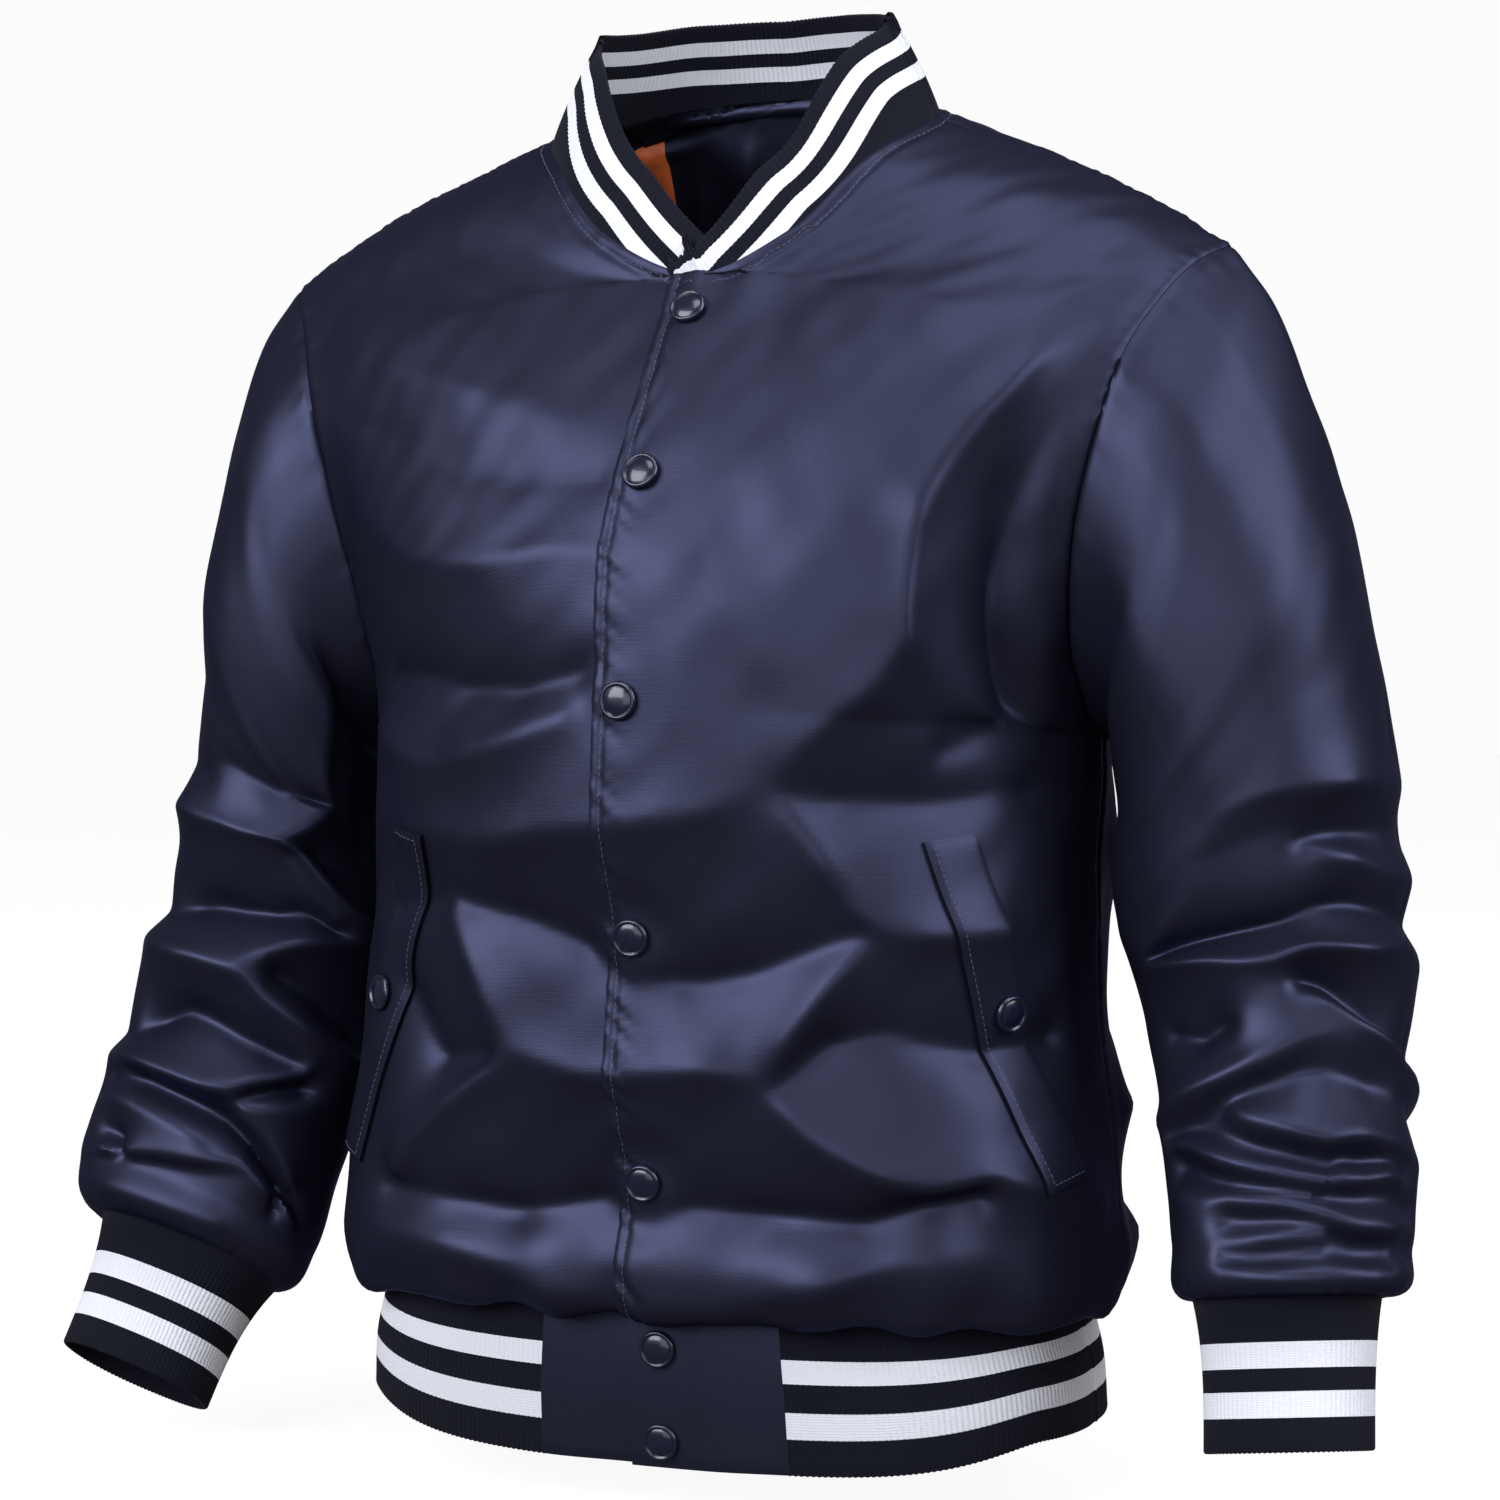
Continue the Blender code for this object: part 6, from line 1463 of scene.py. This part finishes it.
def beside_seam(grid, edge, away):
    """The line on a panel that runs this far from one of its edges, and the normals there."""
    rows, columns = grid.shape[:2]
    tree = tree_of(grid.reshape(-1, 3), grid_quads(rows - 1, columns - 1))
    inside = grid[rows // 2, columns // 2]
    line = []
    normals = []
    for spot, way in zip(edge, unit(np.gradient(edge, axis=0))):
        _, normal, _, _ = tree.find_nearest(Vector(spot))
        across = unit(np.cross(np.array(normal), way))
        across = across * np.sign(across @ (inside - spot))
        hit, normal, _, _ = tree.find_nearest(Vector(spot + across * away))
        line.append(np.array(hit))
        outward = np.array(normal)
        normals.append(outward * np.sign(outward @ (line[-1] - BODY_MIDDLE)))
    return np.array(line), np.array(normals)


def lining_folds(sheet, neckline):
    """How far the lining stands off the back panel, in slack folds that cross each other."""
    across, down = sheet.cloth.T
    waves = 0.0
    for fold in LINING_FOLDS:
        wave = np.sin(fold.across * across + fold.down * down + fold.start)
        waves = waves + np.maximum(wave, 0.0) ** 2 * fold.rise
    away, _ = nearest(sheet.points, neckline[::NECK_STRIDE])
    foot = smoothstep(sheet.points[:, 2], *LINING_FOLD_FOOT)
    return waves * smoothstep(away, *LINING_FOLD_REACH) * foot


def lining_patch(back, rows, columns, place):
    """A patch on the inside of the back. place gives x, height and rise at shares of it."""
    points = np.zeros((rows + 1, columns + 1, 3))
    for row, column in np.ndindex(rows + 1, columns + 1):
        x, z, rise = place(row / rows, column / columns)
        hit, normal, _, _ = back.ray_cast(Vector((x, 0.0, z)), Vector((0.0, 1.0, 0.0)))
        points[row, column] = np.array(hit) + np.array(normal) * (LINING_LIFT + LINING + rise)
    return points


def add_lining(back, neckline):
    """Adds the bright panel of the lining, and the tube that covers the neck's seam inside."""
    behind = neckline[neckline[:, 1] > 0]
    behind = behind[np.argsort(behind[:, 0])]

    def panel(down, across):
        x = LINING_NEAR_X + (LINING_FAR_X - LINING_NEAR_X) * across
        top = LINING_NEAR_TOP + (LINING_FAR_TOP - LINING_NEAR_TOP) * across
        return x, top + (LINING_FOOT - top) * down, 0.0

    def tape(down, across):
        x = TAPE_HALF_LENGTH * (2 * across - 1)
        seam = np.interp(x, behind[:, 0], behind[:, 2])
        return x, seam - TAPE_TOP - TAPE_WIDTH * down, TAPE_RISE * math.sin(math.pi * down)

    grid = lining_patch(back, LINING_ROWS, LINING_COLUMNS, panel)
    lie_on("lining_panel", "lining_panel", grid, 1.0, "lining", LINING, 0.0)
    grid = lining_patch(back, TAPE_ROWS, TAPE_COLUMNS, tape)
    lie_on("neck_tape", None, grid, -1.0, "satin", LINING, 0.0)


def add_closure(half, front, tab):
    """Adds the snaps down the front and on the hem tab, and the front edge's stitches."""
    surface = Surface(front)
    centre = front[: half.neck + 1, STRIP_COLUMNS, 2]
    for number, height in enumerate(FRONT_SNAP_HEIGHTS, 1):
        row = np.interp(height, centre[SAG_ROWS:], np.arange(SAG_ROWS, len(centre)))
        add_snap("front_snap_%d" % number, *surface.seat(row, STRIP_COLUMNS, SNAP_RADIUS))
    tab = Surface(tab[::-1, ::-1], -1.0)
    for number, height in enumerate(HEM_SNAP_HEIGHTS, 1):
        row = np.interp(height, tab.points[:, TAB_COLUMNS, 2], np.arange(len(tab.points)))
        add_snap("hem_snap_%d" % number, *tab.seat(row, TAB_COLUMNS, SNAP_RADIUS))
    rows = np.arange(0.0, half.neck, 0.5)
    column = np.full(len(rows), EDGE_STITCH / OVERLAP * STRIP_COLUMNS)
    add_stitches("front_edge_stitches", [(surface.at(rows, column), surface.normal(rows, column))])


# The fields of a record of what was cut for a piece of cloth, as far as it shows: width and
# length in metres, the area in square metres, how it is held and what by. Where a piece's name
# has {}, it stands for two, one on each side of the wearer. No such records are listed here.
Cut = namedtuple("Cut", "piece width length area held by")


def main():
    front_half = Half(FRONT_ROWS, BACK_ROWS, 1, STRIP_COLUMNS)
    back_half = Half(BACK_ROWS, FRONT_ROWS, -1, 0)
    fronts, backs = torso_panels(front_half, back_half)
    cloth = panel_cloth(front_half)
    sheets = [
        Sheet(name + "_front", fronts[name], facing(front_half.quads(), side), cloth)
        for name, side in SIDES
    ]
    sheets.append(back_sheet(back_half, backs))
    bands = {}
    for name, side in SIDES:
        edges = front_half.armhole(fronts[name])[::-1], back_half.armhole(backs[name])
        sheet, bands[name + "_cuff"] = sleeve_and_cuff(name, side, *edges)
        sheets.append(sheet)
    bands.update(hem_bands(fronts, backs))
    neckline, around = whole_neckline(front_half, back_half, fronts, backs)
    bands["collar"] = collar_points(neckline, around)

    back = add_sheets(sheets, neckline)
    add_bands(bands)
    add_lining(back, neckline)
    for name, side in SIDES:
        add_welt(name, side, front_half, fronts[name])
    add_closure(front_half, fronts["left"], bands["left_hem_tab"])
    add_stitches("neck_stitches", [
        beside_seam(panels[name], half.neckline(panels[name]), NECK_STITCH)
        for panels, half in ((fronts, front_half), (backs, back_half)) for name in panels
    ])


# ---------------------------------------------------------------- floor, light and camera
AZIMUTH = math.radians(21.0)
ELEVATION = math.radians(1.4)
DISTANCE = 1.6
LENS = 79.87  # millimetres, on a sensor of 36
AIM = Vector((0.0036, 0.0014, -0.297))
BACK = Vector((
    math.sin(AZIMUTH) * math.cos(ELEVATION), -math.cos(AZIMUTH) * math.cos(ELEVATION), math.sin(ELEVATION)
))
RIGHT = Vector((math.cos(AZIMUTH), math.sin(AZIMUTH), 0.0))
UP = Vector((0.0, 0.0, 1.0))
FLOOR_Z = -0.642
FLOOR_SIZE = 30
FLOOR_GLOW = 0.93
BACKDROP_RADIUS = 14
BACKDROP_GLOW = 0.95
WORLD_COLOUR = (1.0, 0.95, 0.87, 1.0)
WORLD_STRENGTH = 0.16

# Places of the lights as seen from the camera, in metres from the middle of the jacket.
Light = namedtuple("Light", "name right up back width height power")
LIGHT_COLOUR = (0.94, 0.97, 1.08)
LIGHTS = (
    Light("key_light", -3.2, 2.0, 2.8, 3.4, 3.0, 250),
    Light("right_light", 3.1, 1.8, 1.8, 2.8, 3.0, 150),
    Light("front_light", -0.4, 0.6, 4.6, 4.2, 2.8, 70),
    Light("top_light", 0.2, 3.4, 1.3, 2.4, 1.6, 65),
)


def add_lights():
    for light in LIGHTS:
        data = bpy.data.lights.new(light.name, "AREA")
        data.shape = "RECTANGLE"
        data.size = light.width
        data.size_y = light.height
        data.energy = light.power
        data.color = LIGHT_COLOUR
        made = bpy.data.objects.new(light.name, data)
        away = RIGHT * light.right + UP * light.up + BACK * light.back
        made.location = AIM + away
        made.rotation_euler = away.to_track_quat("Z", "Y").to_euler()
        bpy.context.scene.collection.objects.link(made)


def add_stage():
    white = (1.0, 1.0, 1.0, 1.0)
    floor = Finish("floor", (0.1, 0.1, 0.1), 0.9, Emission_Color=white, Emission_Strength=FLOOR_GLOW)
    floor.bumps((floor.noise(floor.space(0.02)), 0.05, 0.001))
    backdrop = Finish("backdrop", (0, 0, 0), 0.5, Emission_Color=white, Emission_Strength=BACKDROP_GLOW)
    add_plane = bpy.ops.mesh.primitive_plane_add
    add_sphere = bpy.ops.mesh.primitive_uv_sphere_add
    for finish, add, sizes in (
        (floor, add_plane, {"size": FLOOR_SIZE, "location": (0, 0, FLOOR_Z)}),
        (backdrop, add_sphere, {"radius": BACKDROP_RADIUS, "segments": 64, "ring_count": 32}),
    ):
        add(**sizes)
        made = bpy.context.object
        made.name = finish.made.name
        made.data.materials.append(finish.made)
        made.visible_diffuse = False
        made.visible_glossy = False
        made.visible_shadow = False
    scene = bpy.context.scene
    scene.view_settings.view_transform = "Standard"
    scene.world = scene.world or bpy.data.worlds.new("world")
    scene.world.use_nodes = True
    sky = scene.world.node_tree.nodes["Background"]
    sky.inputs["Color"].default_value = WORLD_COLOUR
    sky.inputs["Strength"].default_value = WORLD_STRENGTH


def add_camera():
    data = bpy.data.cameras.new("camera")
    data.lens = LENS
    data.sensor_width = 36.0
    made = bpy.data.objects.new("camera", data)
    made.location = AIM + BACK * DISTANCE
    made.rotation_euler = BACK.to_track_quat("Z", "Y").to_euler()
    bpy.context.scene.collection.objects.link(made)
    bpy.context.scene.camera = made


main()
add_lights()
add_stage()
add_camera()
